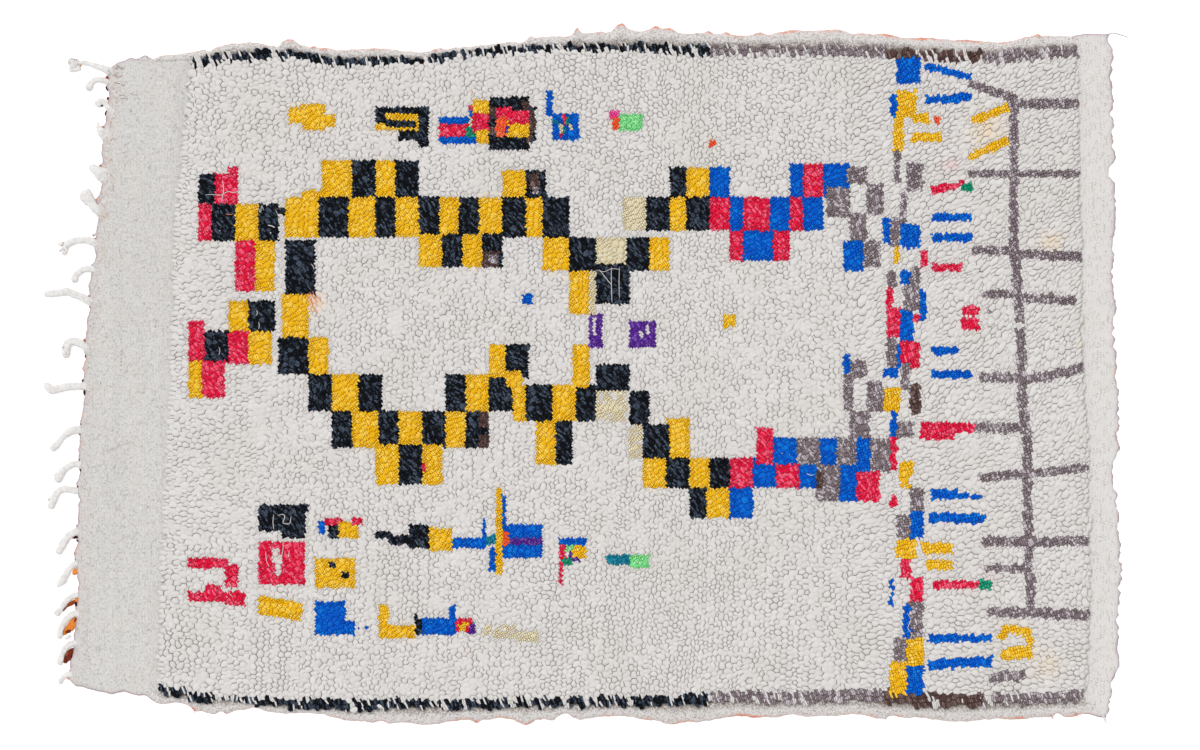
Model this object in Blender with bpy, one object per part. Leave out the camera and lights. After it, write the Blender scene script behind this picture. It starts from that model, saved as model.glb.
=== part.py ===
# A hand-knotted wool rug that lies flat on a floor: one woven body with a field of thick pile between two
# flat-woven ends, and a fringe of felted cords along the left end.
#
# The rug's length runs along X, with the fringe at -X, and its width along Y. The underside is the plane z = 0.
# The origin is under the middle of the rug with its fringe. Sizes are in metres.
import math

import bmesh
import bpy
import numpy as np
from mathutils import Vector, noise

MM = 0.001

# Heights over the floor
RIM = 2.6 * MM
CLOTH = 3.5 * MM
SELVEDGE = 5.0 * MM
PILE_SHOULDER = 10.0 * MM
PILE_CREST = 13.0 * MM

# The pile rises from the cloth over two short steps
SHOULDER_IN = 4.0 * MM
CREST_IN = 15.0 * MM

# Lumps of the pile: how high they stand, how far across, and how far their tops wander sideways
LUMP_HEIGHT = 2.2 * MM
LUMP_ACROSS = 45.0 * MM
LUMP_WANDER = 4.0 * MM
SMALL_LUMP_SHARE = 0.7
SMALL_LUMPS_FINER = 2.3
WANDER_FINER = 1.7

# Soft ripples of the flat-woven ends
RIPPLE_HEIGHT = 0.4 * MM
RIPPLE_ACROSS = 60.0 * MM
RIPPLE_LAYER = 0.1

# The selvedge is highest this share of the way from its edge to the pile
SELVEDGE_CROWN = 0.45

# How finely each zone is divided, from the left end to the right and from the near side to the far
LEFT_WEAVE_COLUMNS = 5
PILE_COLUMNS = 64
RIGHT_WEAVE_COLUMNS = 3
PILE_ROWS = 42

# The strip of cloth that the fringe's cords grow out of is parted from the rug along a straight seam
STRIP_GAP = 0.3 * MM
STRIP_STEP = 18.0 * MM

# The rug's four edges, in millimetres: a smooth line runs through the rows of each table
#             x     y
FAR_EDGE = (
    (-711, 467),
    (-657, 479),
    (-597, 485),
    (-544, 496),
    (-493, 502),
    (-438, 503),
    (-405, 493),
    (-292, 492),
    (-254, 487),
    (-187, 494),
    (-126, 500),
    (-72, 509),
    (-18, 512),
    (45, 520),
    (134, 521),
    (169, 517),
    (252, 512),
    (326, 518),
    (396, 520),
    (464, 508),
    (530, 506),
    (611, 502),
    (671, 511),
    (731, 511),
    (788, 514),
)
#             x     y
NEAR_EDGE = (
    (-771, -451),
    (-730, -470),
    (-673, -472),
    (-644, -485),
    (-584, -496),
    (-544, -505),
    (-510, -496),
    (-458, -502),
    (-394, -503),
    (-349, -515),
    (-242, -521),
    (-180, -512),
    (-79, -518),
    (26, -511),
    (83, -511),
    (134, -521),
    (198, -511),
    (243, -502),
    (290, -509),
    (371, -506),
    (453, -512),
    (494, -508),
    (558, -515),
    (632, -509),
    (696, -508),
    (785, -508),
)
#             y     x
LEFT_EDGE = (
    (-451, -771),
    (-431, -768),
    (-406, -760),
    (-388, -762),
    (-356, -757),
    (-316, -757),
    (-262, -760),
    (-221, -757),
    (-158, -756),
    (-89, -754),
    (-34, -748),
    (14, -748),
    (53, -747),
    (109, -738),
    (131, -741),
    (184, -730),
    (215, -730),
    (239, -726),
    (254, -730),
    (292, -720),
    (349, -720),
    (377, -718),
    (415, -711),
    (452, -714),
    (467, -711),
)
#             y     x
RIGHT_EDGE = (
    (-508, 785),
    (-467, 794),
    (-442, 803),
    (-378, 803),
    (-325, 804),
    (-298, 809),
    (-257, 803),
    (-244, 807),
    (-187, 803),
    (-145, 797),
    (-109, 803),
    (-67, 803),
    (13, 800),
    (65, 795),
    (98, 798),
    (155, 797),
    (199, 795),
    (253, 798),
    (307, 795),
    (407, 795),
    (454, 791),
    (481, 795),
    (514, 788),
)

# The seam that parts the fringe's strip from the rug, and the lines where the pile begins and ends, in millimetres
#             y     x
LEFT_SEAM = (
    (-460, -760),
    (480, -698),
)
#             y     x
PILE_LEFT = (
    (-511, -638),
    (-408, -634),
    (-258, -629),
    (-153, -625),
    (-33, -619),
    (117, -614),
    (241, -610),
    (327, -601),
    (517, -584),
)
#             y     x
PILE_RIGHT = (
    (-511, 752),
    (-363, 760),
    (-243, 761),
    (-78, 757),
    (72, 748),
    (192, 749),
    (417, 742),
    (517, 740),
)
#             x     y
PILE_FAR = (
    (-800, 476),
    (-582, 481),
    (-521, 491),
    (-424, 492),
    (-371, 481),
    (-254, 481),
    (-214, 486),
    (-124, 497),
    (26, 502),
    (176, 500),
    (326, 499),
    (476, 496),
    (566, 488),
    (626, 491),
    (731, 497),
    (820, 497),
)
#             x     y
PILE_NEAR = (
    (-800, -474),
    (-634, -474),
    (-574, -486),
    (-424, -497),
    (-334, -501),
    (-274, -498),
    (-199, -500),
    (-124, -497),
    (26, -494),
    (176, -491),
    (326, -489),
    (401, -486),
    (551, -494),
    (753, -486),
    (820, -486),
)

# The cords of the fringe, in millimetres: the places that each runs through, from its root in the cloth to its tip,
# and how wide it is there
#       x     y  wide
CORDS = (
    ((-706, 458, 16), (-718, 463.5, 11), (-730, 467.5, 8.5), (-744, 471.6, 7.3), (-756, 472, 7.5), (-764, 469, 13)),
    ((-708, 440.5, 10), (-720.3, 446.3, 9), (-728.7, 447, 8.8), (-735.6, 443.5, 8.8), (-740, 435.5, 12)),
    ((-703, 397, 10), (-712, 406, 9), (-717, 412.5, 9), (-722, 414.5, 10), (-726, 411, 11.4)),
    ((-712, 362, 24), (-721, 368.5, 15), (-725.5, 374.5, 8.5), (-728, 382, 4)),
    ((-714, 302, 28), (-722, 306, 22), (-730, 311.5, 15), (-734.5, 314.5, 12)),
    ((-722, 247, 17), (-730, 254, 14), (-738, 264, 16), (-744, 272, 21)),
    ((-727, 199, 13), (-739, 205.2, 11), (-751, 206.5, 10.5), (-763, 204.5, 10.3), (-773, 200, 11)),
    ((-728, 162, 12), (-741.7, 163, 10), (-752.4, 160.3, 9.8), (-759, 154.3, 10.2), (-761.8, 147.8, 11.2)),
    ((-735, 112, 13), (-747, 118.8, 12), (-760.4, 124.1, 11.5), (-773.8, 128.8, 12), (-787.2, 126.8, 11),
     (-803, 125.5, 10)),
    ((-741, 43, 12), (-752.3, 50.7, 12), (-763, 54.5, 12.5), (-771.5, 51, 13.5), (-774, 44, 14)),
    ((-743, -13, 13), (-756.6, -12.5, 11.5), (-770.9, -13.2, 12.5), (-785.3, -16, 12), (-796.8, -17.5, 13.5),
     (-803, -12, 11)),
    ((-749.4, -78.5, 13), (-762.3, -78.5, 12), (-773.8, -84.2, 10.8), (-781.7, -92.1, 9), (-788.9, -100.7, 11),
     (-793.2, -105.2, 11.3)),
    ((-750.8, -130.2, 12), (-762.3, -129.5, 10), (-772.4, -133.8, 10.3), (-781, -142.4, 11.5), (-786, -151, 13)),
    ((-755, -170, 11), (-765.6, -168.2, 10), (-778.2, -167.2, 10.5), (-786.6, -170.9, 10.5), (-791.4, -178.8, 11.5),
     (-794, -186, 12), (-797, -192, 11)),
    ((-754, -229.8, 12.5), (-762.4, -231.9, 11.6), (-770.8, -237.7, 11.8), (-777.2, -246, 12), (-781.9, -254.5, 12),
     (-785, -259.5, 11.7)),
    ((-755, -277.7, 10), (-763.5, -280.3, 9.5), (-769.8, -287.2, 9.5), (-775, -295.6, 10.5), (-779.8, -304, 12.6),
     (-786, -311, 7)),
    ((-754.6, -325.3, 9), (-764.5, -327.5, 8.8), (-772.2, -333, 9.2), (-779.9, -342.9, 8.2), (-784.8, -349.5, 8.5),
     (-787.5, -352.5, 10.4)),
    ((-753.5, -353.4, 10), (-763.4, -355, 9.5), (-772.2, -360.5, 9.8), (-778.8, -369.3, 9.3), (-782.6, -378, 9.3),
     (-784.3, -387, 9.6)),
    ((-756.8, -398, 10), (-766.7, -398.5, 9.4), (-774.4, -404.5, 9.4), (-779.9, -413.3, 8.8), (-782, -421, 8.8),
     (-784, -426, 10.4)),
    ((-762.3, -444.7, 11), (-771.1, -444.7, 9), (-777.7, -448, 8.3), (-781.5, -453, 7.2), (-783, -457, 6)),
)

# A cord's top is narrower than its foot, and its height follows its width. It narrows again at its root and its tip.
CORD_TOP_SHARE = 0.6
CORD_HEIGHT_SHARE = 0.62
CORD_HEIGHT_MOST = 8.0 * MM
ROOT_SHARE = 0.8
TIP_REACH = 0.35
TIP_WIDTH_SHARE = 0.5
TIP_HEIGHT_SHARE = 0.6

# Edges that turn further than this are left sharp
SHARP = math.radians(40)


def clear_scene():
    for thing in list(bpy.data.objects):
        bpy.data.objects.remove(thing, do_unlink=True)


def wool(name, colour):
    """A matt wool material in one colour."""
    material = bpy.data.materials.new(name)
    material.use_nodes = True
    shader = material.node_tree.nodes["Principled BSDF"]
    shader.inputs["Base Color"].default_value = (*colour, 1.0)
    shader.inputs["Roughness"].default_value = 0.95
    shader.inputs["Metallic"].default_value = 0.0
    return material


def line_at(table, places):
    """Reads a smooth line through a table's rows at the given places. Tables are in millimetres, places in metres."""
    place, value = np.array(table, dtype=float).T * MM
    slope = np.gradient(value, place)
    row = np.clip(np.searchsorted(place, places) - 1, 0, len(place) - 2)
    span = place[row + 1] - place[row]
    t = np.clip((places - place[row]) / span, -0.5, 1.5)
    start_value = (1 + 2 * t) * (1 - t) ** 2 * value[row]
    start_slope = t * (1 - t) ** 2 * span * slope[row]
    end_value = t**2 * (3 - 2 * t) * value[row + 1]
    end_slope = t**2 * (t - 1) * span * slope[row + 1]
    return start_value + start_slope + end_value + end_slope


def spread(count):
    """Even shares from just past 0 up to 1."""
    return [(i + 1) / count for i in range(count)]


def column_stations():
    """The grid's columns, left to right: the two lines that each lies between, its share of the way, its offset and
    its height."""
    stations = [(LEFT_SEAM, LEFT_SEAM, 0.0, STRIP_GAP, CLOTH)]
    for share in spread(LEFT_WEAVE_COLUMNS):
        stations.append((LEFT_SEAM, PILE_LEFT, share, 0.0, CLOTH))
    stations.append((PILE_LEFT, PILE_LEFT, 0.0, SHOULDER_IN, PILE_SHOULDER))
    for share in [0.0] + spread(PILE_COLUMNS):
        offset = CREST_IN * (1 - 2 * share)
        stations.append((PILE_LEFT, PILE_RIGHT, share, offset, PILE_CREST))
    stations.append((PILE_RIGHT, PILE_RIGHT, 0.0, -SHOULDER_IN, PILE_SHOULDER))
    for share in [0.0] + spread(RIGHT_WEAVE_COLUMNS):
        stations.append((PILE_RIGHT, RIGHT_EDGE, share, 0.0, RIM if share == 1 else CLOTH))
    return stations


def row_stations():
    """The grid's rows, from the near side to the far, in the same terms as the columns."""
    stations = [
        (NEAR_EDGE, NEAR_EDGE, 0.0, 0.0, RIM),
        (NEAR_EDGE, PILE_NEAR, SELVEDGE_CROWN, 0.0, SELVEDGE),
        (NEAR_EDGE, PILE_NEAR, 1.0, 0.0, CLOTH),
        (PILE_NEAR, PILE_NEAR, 0.0, SHOULDER_IN, PILE_SHOULDER),
    ]
    for share in [0.0] + spread(PILE_ROWS):
        offset = CREST_IN * (1 - 2 * share)
        stations.append((PILE_NEAR, PILE_FAR, share, offset, PILE_CREST))
    stations += [
        (PILE_FAR, PILE_FAR, 0.0, -SHOULDER_IN, PILE_SHOULDER),
        (PILE_FAR, FAR_EDGE, 0.0, 0.0, CLOTH),
        (PILE_FAR, FAR_EDGE, 1 - SELVEDGE_CROWN, 0.0, SELVEDGE),
        (FAR_EDGE, FAR_EDGE, 0.0, 0.0, RIM),
    ]
    return stations


def station_at(station, places):
    """Where a column lies across the rug at the given y, or a row along it at the given x."""
    line_from, line_to, share, offset, _ = station
    return (1 - share) * line_at(line_from, places) + share * line_at(line_to, places) + offset


def grid_places(columns, rows):
    """The x and y of every crossing of a column and a row. Each depends on the other, so they settle in a few turns."""
    settle_turns = 8
    x = np.zeros((len(columns), len(rows)))
    y = np.zeros_like(x)
    for _ in range(settle_turns):
        x = np.array([station_at(columns[i], y[i]) for i in range(len(columns))])
        y = np.array([station_at(rows[j], x[:, j]) for j in range(len(rows))]).T
    return x, y


def top_point(x, y, height):
    """A point of the upper side: pile is lumpy in proportion to its height, and bare cloth ripples softly."""
    pile = max(0.0, (height - SELVEDGE) / (PILE_CREST - SELVEDGE))
    lump_place = Vector((x, y, 0.0)) / LUMP_ACROSS
    lump = noise.noise(lump_place) + SMALL_LUMP_SHARE * noise.noise(lump_place * SMALL_LUMPS_FINER)
    ripple = noise.noise(Vector((x, y, RIPPLE_LAYER)) / RIPPLE_ACROSS)
    wander = noise.noise_vector(lump_place * WANDER_FINER) * LUMP_WANDER * pile
    rise = lump * LUMP_HEIGHT * pile + ripple * RIPPLE_HEIGHT * (1 - pile)
    return Vector((x + wander.x, y + wander.y, height + rise))


def stand_on_floor(bm):
    """Closes an open sheet downwards: its rim gets walls to the floor, and the floor outline one flat face."""
    rim = [edge for edge in bm.edges if edge.is_boundary]
    grown = bmesh.ops.extrude_edge_only(bm, edges=rim)["geom"]
    for vert in grown:
        if isinstance(vert, bmesh.types.BMVert):
            vert.co.z = 0.0
    floor_line = [edge for edge in grown if isinstance(edge, bmesh.types.BMEdge) and edge.is_boundary]
    bmesh.ops.holes_fill(bm, edges=floor_line, sides=0)
    bmesh.ops.recalc_face_normals(bm, faces=bm.faces[:])


def finished_object(bm, name, material, collection):
    mesh = bpy.data.meshes.new(name)
    bm.to_mesh(mesh)
    bm.free()
    mesh.materials.append(material)
    mesh.shade_smooth()
    mesh.set_sharp_from_angle(angle=SHARP)
    thing = bpy.data.objects.new(name, mesh)
    collection.objects.link(thing)
    return thing


def rug_body(material, collection):
    """The woven body: a grid laid between the edges, lifted into pile, cloth and selvedge, and closed to the floor."""
    columns = column_stations()
    rows = row_stations()
    x, y = grid_places(columns, rows)
    bm = bmesh.new()
    bmesh.ops.create_grid(bm, x_segments=len(columns) - 1, y_segments=len(rows) - 1, size=0.5)
    for vert in bm.verts:
        i = round((vert.co.x + 0.5) * (len(columns) - 1))
        j = round((vert.co.y + 0.5) * (len(rows) - 1))
        height = min(columns[i][-1], rows[j][-1])
        vert.co = top_point(x[i, j], y[i, j], height)
    stand_on_floor(bm)
    return finished_object(bm, "rug_body", material, collection)


def strip_stations():
    """Where the strip's cross-cuts lie along Y: one at each side of every cord, and more where they are far apart."""
    sides = []
    for root, *_ in CORDS:
        _, y, wide = root
        reach = 0.5 * ROOT_SHARE * wide
        sides += [(y - reach) * MM, (y + reach) * MM]
    ends = [LEFT_EDGE[0][0] * MM, LEFT_EDGE[-1][0] * MM]
    fixed = sorted(sides + ends)
    stations = []
    for low, high in zip(fixed, fixed[1:]):
        parts = max(1, round((high - low) / STRIP_STEP))
        stations += [low + (high - low) * k / parts for k in range(parts)]
    return stations + [fixed[-1]]


def cord_sections(cord):
    """The cord's centre, its sideways direction, width and height at each of its sections past its root."""
    rows = [(Vector((x, y)) * MM, wide * MM) for x, y, wide in cord]
    (before, _), (last, last_wide) = rows[-2:]
    onward = (last - before).normalized()
    for k in range(1, len(rows)):
        place, wide = rows[k]
        ahead = rows[k + 1][0] if k + 1 < len(rows) else place + onward
        heading = ((place - rows[k - 1][0]).normalized() + (ahead - place).normalized()).normalized()
        yield place, Vector((heading.y, -heading.x)), wide, cord_height(wide)
    tip = last + onward * TIP_REACH * last_wide
    tip_height = TIP_HEIGHT_SHARE * cord_height(last_wide)
    yield tip, Vector((onward.y, -onward.x)), TIP_WIDTH_SHARE * last_wide, tip_height


def cord_height(wide):
    return min(CORD_HEIGHT_SHARE * wide, CORD_HEIGHT_MOST)


def grow_cord(bm, root, cord):
    """Draws a cord out of one side face of the strip, a section at a time, level on the floor."""
    middle = root.calc_center_median()
    corners = [(1 if vert.co.y > middle.y else -1, vert.co.z > middle.z) for vert in root.verts]
    face = root
    for place, sideways, width, height in cord_sections(cord):
        face = bmesh.ops.extrude_discrete_faces(bm, faces=[face])["faces"][0]
        for vert, (hand, is_top) in zip(face.verts, corners):
            reach = 0.5 * width * (CORD_TOP_SHARE if is_top else 1.0)
            vert.co.xy = place + sideways * hand * reach
            vert.co.z = height if is_top else 0.0


def left_fringe(material, collection):
    """The strip along the left edge with its cords, as one piece."""
    stations = strip_stations()
    bm = bmesh.new()
    bmesh.ops.create_grid(bm, x_segments=1, y_segments=len(stations) - 1, size=0.5)
    for vert in bm.verts:
        y = stations[round((vert.co.y + 0.5) * (len(stations) - 1))]
        line = LEFT_SEAM if vert.co.x > 0 else LEFT_EDGE
        vert.co = Vector((line_at(line, np.array(y)), y, CLOTH))
    stand_on_floor(bm)
    roots = []
    for cord in CORDS:
        y = cord[0][1] * MM
        roots.append(min(bm.faces, key=lambda face: root_distance(face, y)))
    for cord, root in zip(CORDS, roots):
        grow_cord(bm, root, cord)
    bmesh.ops.recalc_face_normals(bm, faces=bm.faces[:])
    return finished_object(bm, "left_fringe", material, collection)


def root_distance(face, y):
    """How far a face of the strip's outer wall is from a cord's root. Other faces are out of the question."""
    outer_wall = face.normal.x < -0.5 and len(face.verts) == 4
    return abs(face.calc_center_median().y - y) if outer_wall else math.inf


def build():
    clear_scene()
    collection = bpy.data.collections.new("moroccan_rug")
    bpy.context.scene.collection.children.link(collection)
    white_wool = wool("white_wool", (0.78, 0.75, 0.70))
    felted_wool = wool("felted_wool", (0.74, 0.72, 0.68))
    rug_body(white_wool, collection)
    left_fringe(felted_wool, collection)


build()
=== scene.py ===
import math

import bpy
import numpy as np
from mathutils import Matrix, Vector, noise
from mathutils.geometry import delaunay_2d_cdt


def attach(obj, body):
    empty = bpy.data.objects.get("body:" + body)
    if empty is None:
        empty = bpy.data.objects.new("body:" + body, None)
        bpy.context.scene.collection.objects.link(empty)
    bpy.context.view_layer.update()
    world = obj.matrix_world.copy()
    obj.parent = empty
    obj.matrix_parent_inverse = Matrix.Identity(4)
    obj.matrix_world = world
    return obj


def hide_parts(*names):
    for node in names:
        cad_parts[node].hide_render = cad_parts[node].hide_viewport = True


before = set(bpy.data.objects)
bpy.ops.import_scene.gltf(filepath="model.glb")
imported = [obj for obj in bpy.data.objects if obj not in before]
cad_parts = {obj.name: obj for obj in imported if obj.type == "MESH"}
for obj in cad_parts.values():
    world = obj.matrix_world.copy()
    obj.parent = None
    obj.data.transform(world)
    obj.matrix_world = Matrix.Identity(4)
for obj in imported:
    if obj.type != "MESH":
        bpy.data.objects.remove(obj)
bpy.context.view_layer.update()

MM = 0.001

# Camera, light and floor
# The picture is taken from straight above, so far up that the rug's sides hardly lean outwards. The floor
# is nearly white. Soft light comes from all round, and a little more of it from the far left.
PICTURE_WIDTH = 1.8
PICTURE_MIDDLE = (0.026, 0.004)
LENS = 85.0
SENSOR = 36.0
SKY_STRENGTH = 0.70
LAMP_STRENGTH = 1.50
LAMP_BREADTH = math.radians(26.0)
LAMP_FROM = (-0.34, 0.42, 1.0)
FLOOR_SIDE = 12.0
FLOOR_DROP = 0.0003
FLOOR_GLOW = 0.25

scene = bpy.context.scene
scene.view_settings.view_transform = "Standard"

camera_data = bpy.data.cameras.new("camera")
camera_data.lens = LENS
camera_data.sensor_width = SENSOR
camera_data.clip_end = 50.0
camera = bpy.data.objects.new("camera", camera_data)
camera.location = (*PICTURE_MIDDLE, PICTURE_WIDTH * LENS / SENSOR)
scene.collection.objects.link(camera)
scene.camera = camera

world = bpy.data.worlds.new("studio")
world.use_nodes = True
sky = world.node_tree.nodes["Background"]
sky.inputs["Color"].default_value = (1.0, 1.0, 1.0, 1.0)
sky.inputs["Strength"].default_value = SKY_STRENGTH
scene.world = world

lamp_data = bpy.data.lights.new("softbox", "SUN")
lamp_data.angle = LAMP_BREADTH
lamp_data.energy = LAMP_STRENGTH
lamp = bpy.data.objects.new("softbox", lamp_data)
lamp.rotation_euler = (-Vector(LAMP_FROM)).to_track_quat("-Z", "Y").to_euler()
scene.collection.objects.link(lamp)

floor_mesh = bpy.data.meshes.new("floor")
half = FLOOR_SIDE / 2
floor_corners = [(-half, -half, 0), (half, -half, 0), (half, half, 0), (-half, half, 0)]
floor_mesh.from_pydata(floor_corners, [], [(0, 1, 2, 3)])
floor = bpy.data.objects.new("floor", floor_mesh)
floor.location = (0.0, 0.0, -FLOOR_DROP)
scene.collection.objects.link(floor)
floor_paint = bpy.data.materials.new("pale_floor")
floor_paint.use_nodes = True
floor_shader = floor_paint.node_tree.nodes["Principled BSDF"]
floor_shader.inputs["Base Color"].default_value = (0.97, 0.97, 0.97, 1.0)
floor_shader.inputs["Roughness"].default_value = 0.9
floor_shader.inputs["Emission Color"].default_value = (1.0, 1.0, 1.0, 1.0)
floor_shader.inputs["Emission Strength"].default_value = FLOOR_GLOW
floor_mesh.materials.append(floor_paint)

# Ground cloth
# The rug is one woven cloth, a thick, fuzzy plain weave in which the wool wefts hide the warps. It is bare
# in a wide band at the left end and a narrow one at the right end, with the knotted pile between them.
CLOTH = 3.5 * MM
RIM = 2.0 * MM
BARE_STEP = 3.3 * MM
COVERED_STEP = 36.0 * MM
UNDER_SELVEDGE = 12.0 * MM
UNDER_REACH = 22 * MM
SCALLOP = 4.5 * MM
FUZZ = 1.2 * MM
WORN_FROM_EDGE = 9 * MM
WORN_HALF = 10 * MM

# Where the pile begins and ends, in millimetres
#             y     x
PILE_LEFT = (
    (-511, -638),
    (-408, -634),
    (-258, -629),
    (-153, -625),
    (-33, -619),
    (117, -614),
    (241, -610),
    (327, -601),
    (517, -584),
)
#             y     x
PILE_RIGHT = (
    (-511, 752),
    (-363, 760),
    (-243, 761),
    (-78, 757),
    (72, 748),
    (192, 749),
    (417, 742),
    (517, 740),
)

# Where the felted edges swell out or draw in, in millimetres: the place along the edge, how far out, and half
# its width
FAR_LOBES = (
    (-709, -4, 12),
    (-678, 3.5, 6),
    (-657, 3, 6),
    (-643, -3, 9),
    (-560, -3.5, 7),
    (-525, 2, 6),
    (-469, -7, 15),
    (-457, -5, 5),
    (-439, 4, 9),
    (-403, 3, 4),
    (-385, 3, 12),
    (-219, 3, 10),
    (-93, -4, 12),
    (-79, 4, 4),
    (-26, -1, 6),
    (-8, 11, 5.5),
    (38, -3, 7),
    (57, 9, 9),
    (86, -4, 12),
    (110, 4, 8),
    (130, 3, 6),
    (153, -4, 16),
    (189, 4, 4.5),
    (215, 4.5, 5),
    (263, 4, 8),
    (310, 3, 18),
    (405, -4, 12),
    (458, 5, 18),
    (512, 2.5, 28),
    (580, 3, 25),
    (640, -3, 20),
    (683, 3, 4),
    (758, 2, 18),
)
NEAR_LOBES = (
    (-750, -3, 16),
    (-705, 2, 6),
    (-655, -4, 8),
    (-604, -6, 20),
    (-583, 3, 7),
    (-542, -4, 6),
    (-490, -3, 12),
    (-325, -4, 25),
    (-302, -5, 8),
    (-270, -6, 25),
    (-160, 5, 6),
    (-118, -6, 20),
    (-84, 3, 8),
    (-62, -6, 18),
    (-27, -12, 14),
    (45, -4, 40),
    (113, -4, 12),
    (152, -4, 18),
    (245, 3, 35),
    (254, 3, 12),
    (312, -5, 18),
    (415, -6, 25),
    (465, -5, 9),
    (650, 3, 22),
    (713, -5, 8),
    (755, -5, 14),
)
LEFT_LOBES = (
    (449, -3, 5),
    (425, -2, 6),
    (383, -1.5, 4),
    (340, 1.5, 8),
    (318, 3, 3),
    (279, -1.5, 6),
    (268, 2.5, 3),
    (240, -1.5, 5),
    (216, 2.5, 3),
    (193, 2, 4),
    (168, 3, 4),
    (88, 2.5, 10),
    (30, -3, 6),
    (14, 3, 3),
    (-5, 2, 4),
    (-20, -2, 5),
    (-64, 1.5, 8),
    (-108, 1.5, 4),
    (-140, -3, 5),
    (-159, 3.5, 5),
    (-184, -2, 4),
    (-224, 1.5, 4),
    (-247, -3, 5),
    (-266, 3, 8),
    (-308, -2.5, 5),
    (-345, 3, 6),
    (-388, 3, 6),
    (-424, 3, 8),
)
RIGHT_LOBES = (
    (506, -4, 8),
    (452, -3, 7),
    (398, -4, 8),
    (362, -3, 8),
    (330, 2.5, 10),
    (308, -5, 13),
    (209, -1, 8),
    (146, -5, 26),
    (2, -4, 10),
    (-52, -3, 8),
    (-88, -5, 10),
    (-146, -5, 24),
    (-190, -5, 9),
    (-213, -4, 8),
    (-232, -6, 14),
    (-312, -4, 8),
    (-366, -4, 8),
    (-405, -5, 16),
    (-452, -6, 12),
)

# The cords of the fringe, in millimetres: the places that each runs through, from its root in the cloth to
# its tip, and how wide it is there
#       x     y  wide
CORDS = (
    ((-706, 458, 16), (-718, 463.5, 11), (-730, 467.5, 8.5), (-744, 471.6, 7.3), (-756, 472, 7.5),
     (-764, 469, 13)),
    ((-708, 440.5, 10), (-720.3, 446.3, 9), (-728.7, 447, 8.8), (-735.6, 443.5, 8.8), (-740, 435.5, 12)),
    ((-703, 397, 10), (-712, 406, 9), (-717, 412.5, 9), (-722, 414.5, 10), (-726, 411, 11.4)),
    ((-712, 362, 24), (-721, 368.5, 15), (-725.5, 374.5, 8.5), (-728, 382, 4)),
    ((-714, 302, 28), (-722, 306, 22), (-730, 311.5, 15), (-734.5, 314.5, 12)),
    ((-722, 247, 17), (-730, 254, 14), (-738, 264, 16), (-744, 272, 21)),
    ((-727, 199, 13), (-739, 205.2, 11), (-751, 206.5, 10.5), (-763, 204.5, 10.3), (-773, 200, 11)),
    ((-728, 162, 12), (-741.7, 163, 10), (-752.4, 160.3, 9.8), (-759, 154.3, 10.2),
     (-761.8, 147.8, 11.2)),
    ((-735, 112, 13), (-747, 118.8, 12), (-760.4, 124.1, 11.5), (-773.8, 128.8, 12),
     (-787.2, 126.8, 11), (-803, 125.5, 10)),
    ((-741, 43, 12), (-752.3, 50.7, 12), (-763, 54.5, 12.5), (-771.5, 51, 13.5), (-774, 44, 14)),
    ((-743, -13, 13), (-756.6, -12.5, 11.5), (-770.9, -13.2, 12.5), (-785.3, -16, 12),
     (-796.8, -17.5, 13.5), (-803, -12, 11)),
    ((-749.4, -78.5, 13), (-762.3, -78.5, 12), (-773.8, -84.2, 10.8), (-781.7, -92.1, 9),
     (-788.9, -100.7, 11), (-793.2, -105.2, 11.3)),
    ((-750.8, -130.2, 12), (-762.3, -129.5, 10), (-772.4, -133.8, 10.3), (-781, -142.4, 11.5),
     (-786, -151, 13)),
    ((-755, -170, 11), (-765.6, -168.2, 10), (-778.2, -167.2, 10.5), (-786.6, -170.9, 10.5),
     (-791.4, -178.8, 11.5), (-794, -186, 12), (-797, -192, 11)),
    ((-754, -229.8, 12.5), (-762.4, -231.9, 11.6), (-770.8, -237.7, 11.8), (-777.2, -246, 12),
     (-781.9, -254.5, 12), (-785, -259.5, 11.7)),
    ((-755, -277.7, 10), (-763.5, -280.3, 9.5), (-769.8, -287.2, 9.5), (-775, -295.6, 10.5),
     (-779.8, -304, 12.6), (-786, -311, 7)),
    ((-754.6, -325.3, 9), (-764.5, -327.5, 8.8), (-772.2, -333, 9.2), (-779.9, -342.9, 8.2),
     (-784.8, -349.5, 8.5), (-787.5, -352.5, 10.4)),
    ((-753.5, -353.4, 10), (-763.4, -355, 9.5), (-772.2, -360.5, 9.8), (-778.8, -369.3, 9.3),
     (-782.6, -378, 9.3), (-784.3, -387, 9.6)),
    ((-756.8, -398, 10), (-766.7, -398.5, 9.4), (-774.4, -404.5, 9.4), (-779.9, -413.3, 8.8),
     (-782, -421, 8.8), (-784, -426, 10.4)),
    ((-762.3, -444.7, 11), (-771.1, -444.7, 9), (-777.7, -448, 8.3), (-781.5, -453, 7.2),
     (-783, -457, 6)),
)


def points_of(node):
    """The places of a node's points in the frame."""
    return np.array([vert.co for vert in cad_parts[node].data.vertices])


def left_line():
    """The outer edge of the strip that the cords grow out of, as rows of y and x. Its top is level."""
    strip = points_of("left_fringe")
    strip = strip[np.abs(strip[:, 2] - CLOTH) < 0.02 * MM]
    strip = strip[np.argsort(strip[:, 1])]
    near_seam, far_seam = (strip[np.abs(strip[:, 1] - y) < 0.1 * MM][:, 0].max() for y in strip[[0, -1], 1])
    slope = (far_seam - near_seam) / np.ptp(strip[:, 1])
    inward = near_seam + slope * (strip[:, 1] - strip[0, 1]) - strip[:, 0]
    edge = strip[(inward > 5 * MM) & (inward < 25 * MM)][:, [1, 0]]
    _, first = np.unique(edge[:, 0].round(5), return_index=True)
    return edge[first]


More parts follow.
